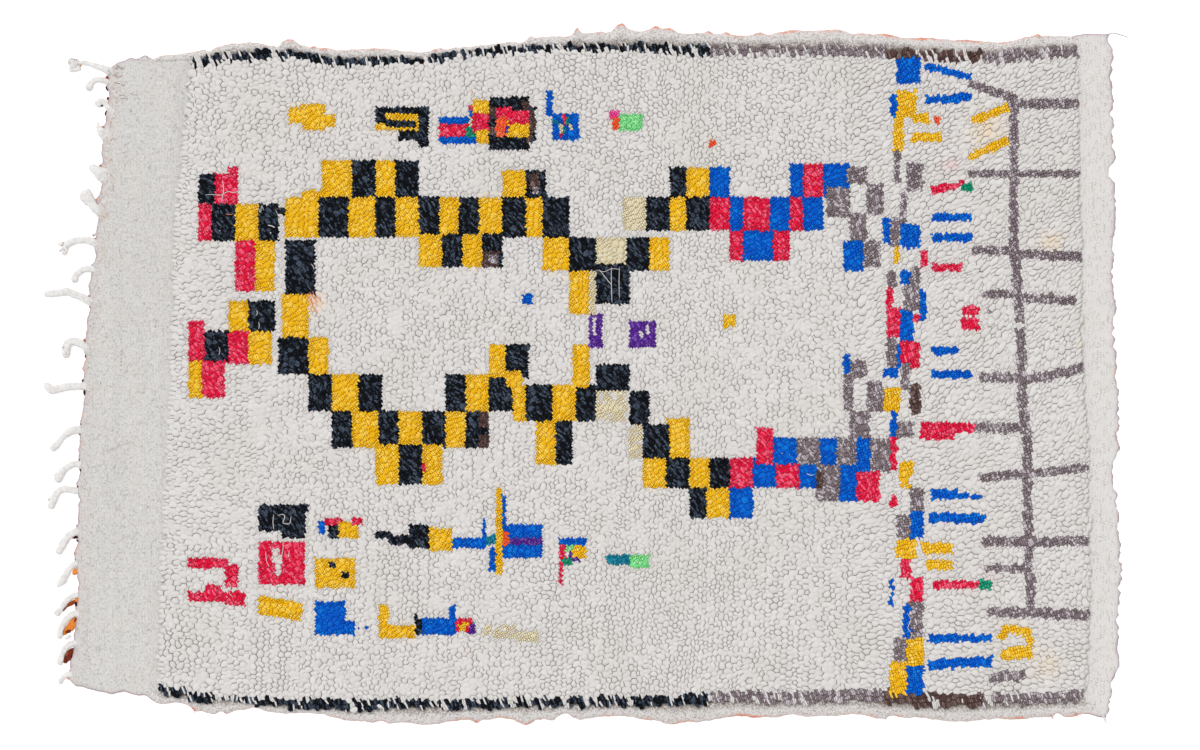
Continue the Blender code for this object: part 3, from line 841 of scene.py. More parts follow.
# Smaller blocks and figures, in millimetres: dye (W is white), left, right, low and high
BLOCKS = (
    ("K", -455, -445, 245, 255),
    ("R", -590, -565, 70, 85),
    ("R", -530, -515, 305, 315),
    ("Y", -420, -390, 270, 280),
    ("Y", -410, -380, 270, 280),
    ("D", -80, -65, 280, 305),
    ("G", -75, -65, 275, 285),
    ("D", -150, -125, 165, 190),
    ("G", -140, -125, 170, 185),
    ("D", -155, -140, -75, -50),
    ("D", -155, -140, -105, -85),
    ("D", 350, 360, -165, -140),
    ("P", 10, 30, 45, 95),
    ("W", 15, 20, 65, 90),
    ("P", 70, 110, 45, 85),
    ("W", 85, 90, 60, 70),
    ("W", 95, 100, 65, 80),
    ("B", -90, -75, 110, 125),
    ("Y", 210, 230, 75, 95),
    ("Y", -115, -90, -15, 10),
    ("R", -240, -235, -140, -130),
    ("G", 395, 425, 290, 315),
    ("G", 365, 400, 240, 285),
    ("G", 425, 450, 245, 290),
    ("G", 400, 425, 205, 245),
    ("B", 390, 420, 160, 205),
    ("G", 420, 445, 165, 205),
    ("Y", 125, 160, -70, -60),
    ("R", 260, 285, -90, -75),
    ("G", 390, 405, -50, 10),
    ("G", 400, 430, -90, -50),
    ("G", 425, 450, -50, -5),
    ("B", 390, 400, 5, 35),
    ("G", 400, 425, 0, 25),
    ("B", 470, 505, 440, 480),
    ("B", 460, 470, 390, 425),
    ("Y", 470, 500, 390, 430),
    ("Y", 495, 520, 380, 395),
    ("O", 525, 535, 380, 390),
    ("Y", 465, 480, 340, 390),
    ("G", 465, 475, 290, 340),
    ("G", 485, 510, 280, 320),
    ("G", 475, 485, 230, 275),
    ("B", 450, 460, 200, 240),
    ("G", 460, 475, 195, 240),
    ("B", 475, 505, 195, 230),
    ("Y", 465, 475, 170, 195),
    ("R", 505, 515, 165, 190),
    ("G", 455, 470, 135, 160),
    ("B", 475, 495, 140, 160),
    ("G", 490, 505, 130, 165),
    ("G", 480, 505, 100, 140),
    ("R", 455, 465, 105, 135),
    ("B", 505, 515, 85, 130),
    ("R", 455, 475, 60, 105),
    ("B", 475, 495, 55, 100),
    ("R", 495, 505, 85, 95),
    ("G", 455, 470, 15, 60),
    ("B", 470, 475, 15, 50),
    ("B", 450, 470, 0, 15),
    ("R", 475, 505, 15, 55),
    ("G", 475, 490, -20, 20),
    ("Y", 450, 475, -50, -15),
    ("D", 490, 505, -55, -10),
    ("B", 460, 470, -90, -50),
    ("G", 470, 495, -90, -65),
    ("Y", 475, 495, -145, -125),
    ("Y", 475, 490, -165, -145),
    ("G", 490, 510, -200, -165),
    ("R", 460, 470, -195, -175),
    ("B", 490, 510, -240, -200),
    ("G", 470, 490, -240, -205),
    ("Y", 470, 500, -270, -240),
    ("R", 475, 490, -300, -270),
    ("B", 460, 465, -340, -300),
    ("R", 490, 510, -340, -300),
    ("G", 485, 510, -390, -335),
    ("B", 480, 490, -390, -340),
    ("G", 465, 485, -425, -390),
    ("Y", 485, 510, -430, -390),
    ("Y", 460, 490, -475, -425),
    ("B", 485, 510, -475, -430),
    ("Y", -440, -420, 380, 405),
    ("Y", -420, -385, 370, 410),
    ("Y", -385, -370, 375, 395),
    ("K", -310, -230, 395, 405),
    ("Y", -310, -240, 370, 395),
    ("K", -310, -295, 380, 395),
    ("K", -295, -250, 375, 385),
    ("K", -245, -230, 345, 400),
    ("K", -275, -245, 355, 370),
    ("B", -215, -165, 375, 390),
    ("R", -215, -170, 360, 380),
    ("B", -215, -160, 350, 360),
    ("T", -170, -160, 375, 390),
    ("E", -175, -160, 360, 375),
    ("Y", -165, -140, 395, 415),
    ("R", -165, -140, 365, 395),
    ("R", -170, -165, 400, 410),
    ("B", -170, -165, 390, 400),
    ("Y", -160, -140, 350, 370),
    ("K", -140, -70, 340, 420),
    ("W", -80, -70, 405, 420),
    ("W", -80, -70, 340, 355),
    ("D", -140, -130, 390, 405),
    ("D", -140, -130, 365, 375),
    ("D", -90, -80, 400, 415),
    ("D", -80, -70, 365, 400),
    ("D", -85, -75, 350, 365),
    ("R", -130, -105, 385, 405),
    ("Y", -120, -80, 360, 385),
    ("R", -110, -80, 380, 400),
    ("O", -130, -115, 360, 390),
    ("P", -115, -110, 365, 375),
    ("B", -55, -45, 390, 430),
    ("B", -45, -5, 355, 395),
    ("R", -30, -25, 380, 395),
    ("E", -25, -20, 380, 390),
    ("C", -45, -35, 380, 385),
    ("T", -35, -30, 365, 380),
    ("P", -30, -20, 375, 380),
    ("C", -30, -25, 365, 375),
    ("T", -20, -15, 370, 380),
    ("R", -35, -30, 360, 365),
    ("I", 40, 55, 385, 400),
    ("O", 45, 60, 370, 390),
    ("L", 55, 90, 370, 395),
    ("O", 190, 200, 345, 355),
    ("K", -485, -410, -200, -190),
    ("K", -485, -460, -230, -200),
    ("K", -450, -415, -240, -200),
    ("K", -470, -440, -230, -200),
    ("R", -485, -415, -310, -245),
    ("W", -465, -455, -275, -255),
    ("W", -460, -450, -295, -265),
    ("Y", -400, -340, -315, -270),
    ("K", -380, -370, -285, -275),
    ("K", -360, -350, -300, -290),
    ("R", -590, -530, -285, -270),
    ("R", -535, -515, -315, -280),
    ("R", -590, -505, -335, -320),
    ("R", -565, -540, -320, -310),
    ("R", -535, -505, -340, -330),
    ("B", -395, -385, -235, -215),
    ("R", -385, -360, -220, -210),
    ("K", -380, -345, -240, -220),
    ("Y", -365, -335, -240, -215),
    ("R", -345, -330, -220, -210),
    ("K", -310, -285, -240, -230),
    ("K", -290, -255, -250, -235),
    ("K", -260, -230, -255, -220),
    ("Y", -230, -195, -260, -225),
    ("B", -400, -355, -385, -335),
    ("B", -365, -340, -385, -365),
    ("B", -335, -330, -380, -375),
    ("B", -325, -320, -375, -370),
    ("B", -195, -145, -255, -240),
    ("B", -150, -145, -255, -210),
    ("C", -145, -130, -250, -235),
    ("Y", -130, -120, -295, -165),
    ("B", -120, -115, -230, -175),
    ("B", -120, -60, -270, -220),
    ("P", -110, -60, -250, -240),
    ("O", -120, -110, -250, -230),
    ("B", -140, -130, -290, -255),
    ("B", -35, 5, -250, -240),
    ("L", -25, -5, -260, -250),
    ("R", -35, -25, -270, -250),
    ("P", -20, -5, -275, -260),
    ("Y", -15, 5, -270, -250),
    ("E", -30, -15, -280, -270),
    ("R", -35, -30, -310, -275),
    ("C", 35, 70, -280, -265),
    ("L", 70, 100, -285, -265),
    ("Y", -305, -290, -390, -340),
    ("Y", -295, -250, -390, -370),
    ("K", -250, -240, -385, -360),
    ("B", -240, -190, -385, -360),
    ("B", -200, -190, -365, -340),
    ("R", -190, -165, -380, -360),
    ("Y", -185, -175, -380, -370),
    ("Y", -180, -170, -370, -365),
    ("P", -170, -160, -385, -370),
    ("C", -165, -160, -370, -365),
    ("T", -150, -135, -385, -370),
    ("T", -135, -125, -390, -375),
    ("T", -125, -100, -390, -370),
    ("T", -100, -90, -395, -380),
    ("T", -90, -65, -395, -380),
    ("G", 605, 610, 95, 105),
)

# Bars and lines, in millimetres: dye, from x and y, to x and y, and how thick
BARS = (
    ("B", 515, 465, 580, 450, 10),
    ("B", 515, 415, 580, 420, 12),
    ("G", 580, 440, 640, 420, 12),
    ("Y", 585, 385, 640, 405, 12),
    ("Y", 580, 330, 635, 355, 12),
    ("Y", 495, 360, 535, 360, 14),
    ("R", 525, 280, 570, 290, 11),
    ("E", 570, 285, 580, 285, 14),
    ("B", 525, 240, 580, 240, 12),
    ("B", 525, 210, 580, 210, 12),
    ("R", 525, 165, 565, 165, 12),
    ("R", 570, 100, 590, 100, 14),
    ("R", 570, 80, 590, 80, 18),
    ("B", 525, 40, 560, 40, 12),
    ("B", 525, 5, 580, 5, 12),
    ("R", 510, -80, 550, -80, 27),
    ("R", 550, -75, 595, -75, 14),
    ("B", 525, -175, 560, -175, 15),
    ("B", 560, -175, 595, -180, 8),
    ("Y", -480, -340, -425, -350, 28),
    ("K", -250, -355, -245, -370, 5),
    ("B", 520, -210, 600, -210, 15),
    ("Y", 510, -255, 550, -255, 16),
    ("Y", 515, -280, 550, -280, 15),
    ("R", 525, -310, 595, -310, 12),
    ("E", 595, -310, 610, -310, 14),
    ("B", 520, -390, 610, -390, 12),
    ("B", 520, -430, 610, -425, 15),
    ("Y", 625, -390, 635, -375, 10),
    ("Y", 630, -375, 670, -380, 12),
    ("Y", 660, -380, 670, -395, 10),
    ("Y", 630, -415, 670, -410, 18),
    ("G", 610, -450, 660, -445, 15),
    ("G", 645, 420, 645, 205, 13),
    ("G", 645, 205, 650, 145, 14),
    ("G", 650, 145, 655, 85, 14),
    ("G", 655, 70, 660, -80, 14),
    ("G", 665, -80, 665, -185, 14),
    ("G", 665, -185, 670, -345, 14),
    ("G", 640, 410, 740, 410, 15),
    ("G", 580, 305, 745, 305, 10),
    ("G", 585, 190, 650, 190, 13),
    ("G", 650, 185, 750, 180, 14),
    ("G", 600, 125, 650, 125, 12),
    ("G", 650, 120, 735, 115, 14),
    ("G", 595, 0, 685, 0, 14),
    ("G", 685, 0, 750, 15, 14),
    ("G", 590, -75, 665, -75, 14),
    ("G", 595, -150, 755, -135, 12),
    ("G", 600, -245, 760, -245, 14),
    ("G", 605, -285, 665, -285, 12),
    ("G", 610, -350, 760, -355, 15),
)

# Dye that has run into the white wool, in millimetres: Y for yellow or R for pink, its place, how far it
# reaches and how strong it is
#     dye     x     y  reach  strength
STAINS = (
    ("Y", 604, 371, 26, 0.40),
    ("Y", 701, 203, 16, 0.34),
    ("Y", 762, 149, 18, 0.20),
    ("Y", 750, 49, 10, 0.24),
    ("Y", 694, -431, 20, 0.30),
    ("R", 551, 319, 9, 0.55),
    ("Y", -403, 112, 13, 0.85),
    ("R", -404, 114, 10, 0.30),
    ("R", 610, -300, 10, 0.25),
    ("R", -175, -410, 4, 0.50),
)

# Where the dark lines beside the selvedges turn from black to grey, and where they are brown
GREY_FROM = 190.0 * MM
BROWN_BETWEEN = (450.0 * MM, 600.0 * MM)


def dye_at(x, y):
    """The letter of the dye that the charts give each place, or W for white."""
    dye = np.full(x.shape, "W")
    side_line = np.zeros(x.shape, dtype=bool)
    for line, layer, inward in ((far_line, 12.0, -1), (near_line, 14.0, 1)):
        # A dark line frays inwards, and white knots reach through it
        half = np.interp(x, line[:, 0], line[:, 2]) / 2
        slanted = x + 0.5 * y
        spikes = 1.5 * MM + 4.0 * MM * ripples(slanted, x * 0, 6.5 * MM, layer)
        shift = 1.2 * MM * ripples(x, x * 0, 14 * MM, layer + 1.0)
        fingers = ripples(slanted, y / 8, 4.5 * MM, layer + 0.5) > np.where(x > 400 * MM, 0.62, 0.42)
        off = (y - read(line, x) - shift) * inward
        side_line |= (off > -half) & (off < half + spikes) & ~fingers
    dye[side_line] = "G"
    dye[side_line & (x < GREY_FROM)] = "K"
    dye[side_line & (BROWN_BETWEEN[0] < x) & (x < BROWN_BETWEEN[1])] = "D"
    x, y = x / MM, y / MM
    blocks = [
        (letter, left, right, low, high)
        for low, high, letters, lines in COURSES
        for letter, left, right in zip(letters, lines, lines[1:])
    ]
    for letter, left, right, low, high in blocks + list(BLOCKS):
        dye[(left < x) & (x < right) & (low < y) & (y < high)] = letter
    for letter, x0, y0, x1, y1, thick in BARS:
        run = (x1 - x0, y1 - y0)
        length = math.hypot(*run)
        gone = ((x - x0) * run[0] + (y - y0) * run[1]) / length
        aside = ((y - y0) * run[0] - (x - x0) * run[1]) / length
        dye[(np.abs(aside) < thick / 2) & (gone > -0.2 * thick) & (gone < length + 0.2 * thick)] = letter
    # White ends show between the straw ones at the near side
    dye[(dye == "T") & (y < 0) & (ripples(x, y, 5.0, 60.0) > 0.42)] = "W"
    return dye


def knots(dice):
    """Every knot of the pile, and one more all round: its place, and the number of its row."""
    found = []
    row = 0
    left, right = pile_left[:, 1].mean(), pile_right[:, 1].mean()
    row_pitches = np.array(ROW_PITCHES) * MM
    knot_pitches = np.array(KNOT_PITCHES) * MM
    cursor = left - read(row_pitches, left)
    while cursor < right + 0.5 * read(row_pitches, right):
        row_pitch = read(row_pitches, cursor) * dice.uniform(0.9, 1.1)
        knot_pitch = read(knot_pitches, cursor)
        share = (cursor + row_pitch / 2 - left) / (right - left)
        low, high = -KNOTS_REACH, KNOTS_REACH
        y = low + np.cumsum(knot_pitch * dice.uniform(0.62, 1.38, int((high - low) / knot_pitch)))
        x = read(pile_left, y) * (1 - share) + read(pile_right, y) * share
        x += 2.4 * MM * ripples(np.full_like(y, cursor), y, 50 * MM, 11.0)
        loose = np.clip(0.24 + 0.16 * ripples(x, y, 70 * MM, 12.0), 0.08, 0.38)
        x += dice.normal(0.0, 1.0, y.shape) * loose * row_pitch
        x += 1.6 * MM * ripples(x, y, 15 * MM, 13.0)
        y = y + 1.6 * MM * ripples(x, y, 15 * MM, 14.0)
        found.append(np.column_stack([x, y, np.full(len(y), row)]))
        cursor += row_pitch
        row += 1
    found = np.vstack(found)
    return found[:, :2], found[:, 2].astype(int)


def in_pile(x, y):
    """Whether each place lies between the four edges of the pile."""
    return (
        (x > read(pile_left, y)) & (x < read(pile_right, y))
        & (y > read(pile_near, x) + PILE_INSET) & (y < read(pile_far, x) - PILE_INSET)
    )


def beside_selvedge(x, y):
    """Whether each place is in the dark lines beside the selvedges, or next to them."""
    reach = 10 * MM
    return (np.abs(y - read(far_line, x)) < reach) | (np.abs(y - read(near_line, x)) < reach)


def leaning(y):
    """How much the wide rows at the right end slope up to the right, as their knots lean on each other."""
    return np.interp(y, (-350 * MM, 150 * MM), (0.02, 0.52))


def cells_round(knot):
    """Each knot's cell: the three knots round every corner, the corners' places, and each cell's corners."""
    x, y = knot.T
    upright = np.column_stack([x, y - leaning(y) * np.maximum(x - WIDE_ROWS_FROM, 0.0)])
    triples = np.array(delaunay_2d_cdt([Vector(place) for place in upright], [], [], 0, 1e-7)[2])
    corner = knot[triples].mean(axis=1)
    owner = triples.ravel()
    number = np.repeat(np.arange(len(triples)), 3)
    out = corner[number] - knot[owner]
    order = np.lexsort((np.arctan2(out[:, 1], out[:, 0]), owner))
    first = np.searchsorted(owner[order], np.arange(len(knot) + 1))
    return triples, corner, [number[order[a:b]] for a, b in zip(first, first[1:])]


def cut_off(ring, way, far):
    """What a straight cut leaves of a ring of places on the near side of it, so far along the given way."""
    kept = []
    along = [place[0] * way[0] + place[1] * way[1] - far for place in ring]
    for k, place in enumerate(ring):
        before, ahead = along[k - 1], along[k]
        if (before > 0) != (ahead > 0):
            share = before / (before - ahead)
            last = ring[k - 1]
            kept.append((*(a + (b - a) * share for a, b in zip(last[:3], place)), 0.0))
        if ahead <= 0:
            kept.append(place)
    return kept


def slices_of(ring, turn, broad):
    """Cuts a cell into slices, the ends of its knot's yarn, which lie side by side at the given turn."""
    way = (math.cos(turn), math.sin(turn))
    along = [place[0] * way[0] + place[1] * way[1] for place in ring]
    low, high = min(along), max(along)
    count = max(2, round((high - low) / broad * 0.9))
    slices = []
    for k in range(count):
        part = cut_off(ring, way, low + (high - low) * (k + 1) / count) if k < count - 1 else ring
        back = low + (high - low) * k / count
        part = cut_off(part, (-way[0], -way[1]), -back) if k else part
        if len(part) > 2:
            slices.append(part)
    return slices


def halves_of(part, turn):
    """Cuts a slice in two across its length."""
    way = (-math.sin(turn), math.cos(turn))
    along = [place[0] * way[0] + place[1] * way[1] for place in part]
    middle = (min(along) + max(along)) / 2
    halves = (cut_off(part, way, middle), cut_off(part, (-way[0], -way[1]), -middle))
    return [half for half in halves if len(half) > 2]


def pile_height(bench, place):
    return bench.grain(place, 420.0, 3.0) + bench.grain(place, 1300.0, 2.0) * 0.5


def white_colour(bench, place):
    """Off-white tips, each a little different, and brown in the creases between the tufts, partly dirt and
    partly painted shade.
    """
    depth = bench.noted("tip")
    drift = bench.grain(place, 9.0, 3.0)
    tip = bench.blend(bench.noted("shade"), paint(211, 208, 206), paint(219, 217, 215))
    tip = bench.blend(bench.ramp(drift, 0.4, 0.75) * 0.35, tip, paint(208, 202, 194))
    tip = bench.blend(bench.noted("warm"), tip, paint(244, 206, 140))
    tip = bench.blend(bench.noted("rosy"), tip, paint(232, 178, 176))
    # The brown of the creases is partly dirt and partly painted shade
    brown = bench.blend(bench.grain(place, 14.0, 2.0), paint(138, 84, 52), paint(82, 40, 16))
    tip = bench.blend(bench.ramp(bench.grain(place, 300.0, 3.0), 0.5, 0.75) * 0.35, tip, paint(192, 184, 178))
    return bench.blend(bench.ramp(depth, 0.12, 1.04), brown, tip)


def dyed_colour(root, body, light):
    """A dye's colours: its depths, painted shade in the creases between its ends, its usual tone, and where
    the light catches it.
    """
    def colour_of(bench, place):
        depth = bench.noted("tip")
        fleck = bench.ramp(bench.grain(place, 420.0, 3.0) * 0.6 + bench.noted("shade") * 0.4, 0.44, 0.76)
        # The depths are painted shade in the creases; the lightest tone is a painted highlight
        return bench.blend(depth, paint(*root), bench.blend(fleck, paint(*body), paint(*light)))
    return colour_of


# Each dye's letter, the name of its piece, and its colours as given on a screen: depths, usual and lightest
# The depths are painted shade in the creases between the ends
DYED_WOOL = (
    ("K", "black_pile", (1, 2, 4), (10, 13, 19), (78, 90, 108)),
    ("Y", "saffron_pile", (176, 104, 8), (241, 187, 20), (252, 217, 96)),
    ("R", "crimson_pile", (112, 2, 28), (230, 20, 64), (252, 112, 142)),
    ("B", "blue_pile", (0, 38, 132), (0, 88, 202), (12, 128, 228)),
    ("G", "grey_pile", (34, 25, 27), (126, 112, 116), (206, 198, 204)),
    ("D", "brown_pile", (24, 13, 13), (84, 62, 58), (134, 112, 108)),
    ("T", "straw_pile", (164, 138, 96), (227, 214, 178), (235, 228, 204)),
    ("P", "purple_pile", (44, 14, 88), (90, 40, 150), (136, 92, 186)),
    ("E", "green_pile", (4, 80, 62), (14, 144, 108), (62, 176, 142)),
    ("C", "teal_pile", (6, 70, 92), (16, 124, 152), (60, 160, 178)),
    ("L", "mint_pile", (50, 160, 80), (126, 222, 138), (176, 240, 184)),
    ("O", "orange_pile", (170, 40, 16), (250, 90, 50), (255, 136, 90)),
    ("I", "pink_pile", (150, 20, 90), (250, 66, 160), (255, 120, 190)),
)


def beside(x, y, letters, reach):
    """How much of such dyes lies round each place."""
    found = np.zeros(x.shape)
    ways = 8
    for k in range(ways):
        turn = 2 * math.pi * k / ways
        near = dye_at(x + reach * math.cos(turn), y + reach * math.sin(turn))
        found += np.isin(near, list(letters)) / ways
    return found


def stained(x, y, letter):
    """How strongly such a dye has stained each place."""
    found = np.zeros(x.shape)
    for dye, place_x, place_y, reach, strength in STAINS:
        off = np.hypot(x / MM - place_x, y / MM - place_y) / reach
        found += (dye == letter) * strength * np.exp(-(off**2))
    return found


def pile_top(x, y):
    """How high the pile reaches at each place. It comes down a little towards its two ends."""
    left_off, right_off = x - read(pile_left, y), read(pile_right, y) - x
    down = np.clip(3.5 * np.exp(-left_off / (8 * MM)) + 5.2 * np.exp(-right_off / (9 * MM)), 0.0, 5.2) * MM
    return PILE_TOP + 0.9 * MM * ripples(x, y, 45 * MM, 33.0) - down


def lean_at(x, y):
    """How far a tuft's top leans out at the edges of the pile."""
    right_off, left_off = read(pile_right, y) - x, x - read(pile_left, y)
    far_off, near_off = read(pile_far, x) - y, y - read(pile_near, x)
    over = 1.0 * np.exp(-right_off / (7 * MM)) - 2.6 * np.exp(-left_off / (7 * MM))
    up = 1.5 * np.exp(-far_off / (6 * MM)) - 1.5 * np.exp(-near_off / (6 * MM))
    return np.clip(np.column_stack([over, up]), -2.6, 2.6) * MM


# Creases that run on between two rows for longer than most, in millimetres: where, and the two heights
#         x   low  high
LONG_CREASES = (
    (-293, -345, -250),
    (-277, -300, -245),
    (-263, -315, -250),
    (-248, -365, -240),
    (-228, -330, -250),
    (-490, -470, -365),
    (-478, -470, -365),
    (-466, -470, -375),
    (-454, -470, -365),
    (-445, -470, -375),
    (-50, -345, -270),
    (-38, -335, -280),
    (40, 440, 520),
    (52, 430, 520),
    (18, 450, 520),
    (66, 440, 515),
    (80, 400, 470),
    (-12, 440, 500),
    (-53, -400, -340),
    (-3, -412, -350),
    (12, -410, -345),
    (40, -400, -340),
    (66, -410, -350),
    (88, -420, -345),
    (-628, -420, -330),
    (-615, -470, -380),
    (-602, -440, -350),
    (-588, -460, -400),
    (-575, -430, -350),
    (-440, 400, 470),
    (-425, 380, 470),
    (-410, 400, 455),
)
LONG_CREASE_CATCHES = 3.2 * MM

# How deep the creases go, how broad their slopes are, and how the tufts between them lie
CREASE_DEEP = 1.8 * MM
CREASE_HALF = 0.50 * MM
END_DEEP = 2.2 * MM
WHITE_END_DEEP = 0.9 * MM
END_CREASE_HALF = 0.62 * MM
SHOULDER_DROP = 0.28 * MM
FOOT = CLOTH - 0.5 * MM
TOP_SCATTER = 0.22
TUFT_TILT = -0.05
TUFT_TILT_IN_WIDE_ROWS = -0.14
DYE_REACH = 8 * MM

dice = np.random.default_rng(11)
knot, knot_row = knots(dice)
inside = in_pile(*knot.T)
triples, corner, rings = cells_round(knot)
at_edge = ~inside[triples].all(axis=1)


def crease_strengths():
    """How strong the crease between each two corners is, and each corner of creases. Few are strong, and
    they run along the rows in some parts of the rug and slanting in others."""
    here = np.concatenate(rings)
    there = np.concatenate([np.roll(ring, -1) for ring in rings])
    ends, number = np.unique(np.sort(np.column_stack([here, there]), axis=1), axis=0, return_inverse=True)
    way = corner[ends[:, 1]] - corner[ends[:, 0]]
    x, y = corner[ends].mean(axis=1).T
    # Creases run along the rug in the wide rows and by the left steps, and slant at the far side
    flat = (x > WIDE_ROWS_FROM) | ((x < -470 * MM) & (np.abs(y - 20 * MM) < 260 * MM))
    between_rows = knot_row[triples].min(axis=1)[ends]
    in_line = between_rows[:, 0] == between_rows[:, 1]
    upright = np.where(flat, 0.12, np.clip(0.62 + 0.55 * ripples(x, y, 90 * MM, 42.0), 0.15, 1.0))
    deeper = 1.0 + 0.45 * upright * np.where(between_rows[:, 0] % 2 == 0, 1.0, -1.0)
    felted = 0.84 + 0.32 * ripples(x, y, 55 * MM, 36.0)
    coarse = 1.0 + np.where(x > -100 * MM, np.interp(np.abs(y), (150 * MM, 350 * MM), (0.05, 0.45)), 0.0)
    coarse += np.where(x > WIDE_ROWS_FROM, 0.25, 0.0)
    lie = np.where(flat, np.where(x > 0, np.arctan(leaning(y)), 0.25), 0.5 * math.pi)
    lie += np.where(flat, 0.25, 0.5) * ripples(x, y, 80 * MM, 39.0)
    slanting = (np.abs(x) < 120 * MM) & (y > 330 * MM)
    lie += np.where(slanting, 0.55, 0.0)
    along_lie = np.cos(np.arctan2(way[:, 1], way[:, 0]) - lie) ** 2
    share = 0.10 + np.where(in_line, upright, 1.0 - upright) * 0.45 + along_lie * 0.65
    chance = dice.uniform(0.0, 1.0, len(ends))
    edge = deeper * felted * coarse * share * (0.09 + 2.7 * chance**2.7)
    for place, low, high in LONG_CREASES:
        along = (np.abs(x - place * MM) < LONG_CREASE_CATCHES) & (y > low * MM) & (y < high * MM) & in_line
        edge = np.where(along, np.maximum(edge, 0.75 + 0.35 * chance), edge)
    edge = np.clip(edge, 0.02, 1.0)
    most, total, count = (np.zeros(len(corner)) for _ in range(3))
    for end in ends.T:
        np.maximum.at(most, end, edge)
        np.add.at(total, end, edge)
        np.add.at(count, end, 1.0)
    by_ring = np.split(edge[number], np.cumsum([len(ring) for ring in rings])[:-1])
    return by_ring, 0.55 * most + 0.45 * total / count


ring_strong, strong = crease_strengths()
x, y = knot.T
turn = 0.72 + 0.38 * ripples(x, y, 55 * MM, 34.0)
turn = np.where(x > WIDE_ROWS_FROM, 0.35, turn)
turn = np.where(beside_selvedge(x, y), 0.32, turn) + dice.normal(0.0, 0.16, len(knot))

# Every knot's cell is cut into slices, each with its dye, and at a motif's edge the slices are cut in half.
# A knot whose ends are all white stays whole.
corner_dye = dye_at(*corner.T)
in_dark_line = beside_selvedge(*knot.T)
slices, slice_knots = [], []
for number in np.flatnonzero(inside):
    ring = [(*corner[k], float(at_edge[k]), 1.0) for k in rings[number]]
    mixed = len(set(corner_dye[rings[number]])) > 1 and not in_dark_line[number]
    broad = END_BROAD_IN_WIDE_ROWS if knot[number, 0] > WIDE_ROWS_FROM and mixed else END_BROAD
    for part in slices_of(ring, turn[number], broad):
        for piece in halves_of(part, turn[number]) if mixed else [part]:
            slices.append(piece)
            slice_knots.append(number)
slice_middle = np.array([np.mean(part, axis=0)[:2] for part in slices])
# The motifs' edges are ragged, and more so past the lozenges
torn = np.where(slice_middle[:, 0] > 440 * MM, 1.4 * MM, 0.9 * MM)
ragged = [torn * ripples(*slice_middle.T, 8 * MM, k) for k in (20.0, 21.0)]
slice_dye = dye_at(slice_middle[:, 0] + ragged[0], slice_middle[:, 1] + ragged[1])
slice_knots = np.array(slice_knots)
dyed_knots = np.unique(slice_knots[slice_dye != "W"])
whole = np.setdiff1d(np.flatnonzero(inside), dyed_knots)
in_dyed = np.isin(slice_knots, dyed_knots)


def tufts(name, place, height, tip, owner, step, half_width, wool, slot):
    """Flat-topped tufts: each has a ring of points in the crease, a shoulder inside it and a middle a
    little higher. The shoulder has a point for every so many points of the ring, counted by step."""
    count = len(place)
    tuft_count = owner[-1] + 1
    each = np.bincount(owner)
    first = np.append(0, np.cumsum(each))[:-1]
    middle = np.column_stack([np.bincount(owner, weights=place[:, k]) for k in (0, 1)]) / each[:, None]
    top = pile_top(*middle.T) + dice.normal(0.0, TOP_SCATTER, tuft_count) * MM
    tilt = np.where(middle[:, 0] > WIDE_ROWS_FROM, TUFT_TILT_IN_WIDE_ROWS, TUFT_TILT)
    lean = lean_at(*middle.T)
    after = np.arange(count) + 1
    after[first + each - 1] = first

    held = (np.arange(count) - first[owner]) % step == 0
    inward = middle[owner] - place
    inset = np.clip(half_width / np.hypot(*inward.T) * dice.uniform(0.8, 1.2, count), 0.1, 0.45)[:, None]
    shoulder = place + inward * inset
    shoulder_z = top[owner] - SHOULDER_DROP + tilt[owner] * (shoulder[:, 1] - middle[owner, 1])
    shoulder_z = np.maximum(shoulder_z, height + 0.2 * MM)
    shoulder = shoulder + 0.8 * lean[owner]
    points = np.vstack([
        np.column_stack([place, height]),
        np.column_stack([shoulder, shoulder_z])[held],
        np.column_stack([middle + lean, top]),
    ])
    shoulder_number = count + np.cumsum(held) - 1
    middle_number = count + held.sum() + owner
    k = np.flatnonzero(held)
    if step == 1:
        walls = np.column_stack([k, after[k], shoulder_number[after[k]], shoulder_number[k]])
        beyond = after[k]
    else:
        between = after[k]
        beyond = after[between]
        here, there = shoulder_number[k], shoulder_number[beyond]
        walls = [(k, between, here), (between, beyond, there), (between, there, here)]
        walls = np.vstack([np.column_stack(wall) for wall in walls])
    tops = np.column_stack([shoulder_number[k], shoulder_number[beyond], middle_number[k]])
    mesh = mesh_of(name, points, walls.tolist() + tops.tolist())
    mesh.polygons.foreach_set("use_smooth", np.arange(len(walls) + len(tops)) >= len(walls))
    owners = np.concatenate([owner, owner[held], np.arange(tuft_count)])
    shade = dice.uniform(0.0, 1.0, tuft_count)
    bleed = dice.uniform(0.0, 0.5, tuft_count) * (step > 1)
    patchy = dice.uniform(0.5, 1.2, tuft_count)
    warm = beside(*middle.T, "YO", DYE_REACH) * bleed + stained(*middle.T, "Y") * patchy
    rosy = beside(*middle.T, "RI", DYE_REACH) * bleed + stained(*middle.T, "R") * patchy
    note(mesh, "tip", np.append(tip, np.ones(len(points) - count)))
    for label, values in (("shade", shade), ("warm", warm), ("rosy", rosy)):
        note(mesh, label, values[owners])
    return finished(name, mesh, wool, slot, "rug_body")


def in_turn(first, second):
    """Two lists in one, a row of the first and a row of the second in turn."""
    return np.stack([first, second], axis=1).reshape(2 * len(first), *first.shape[1:])


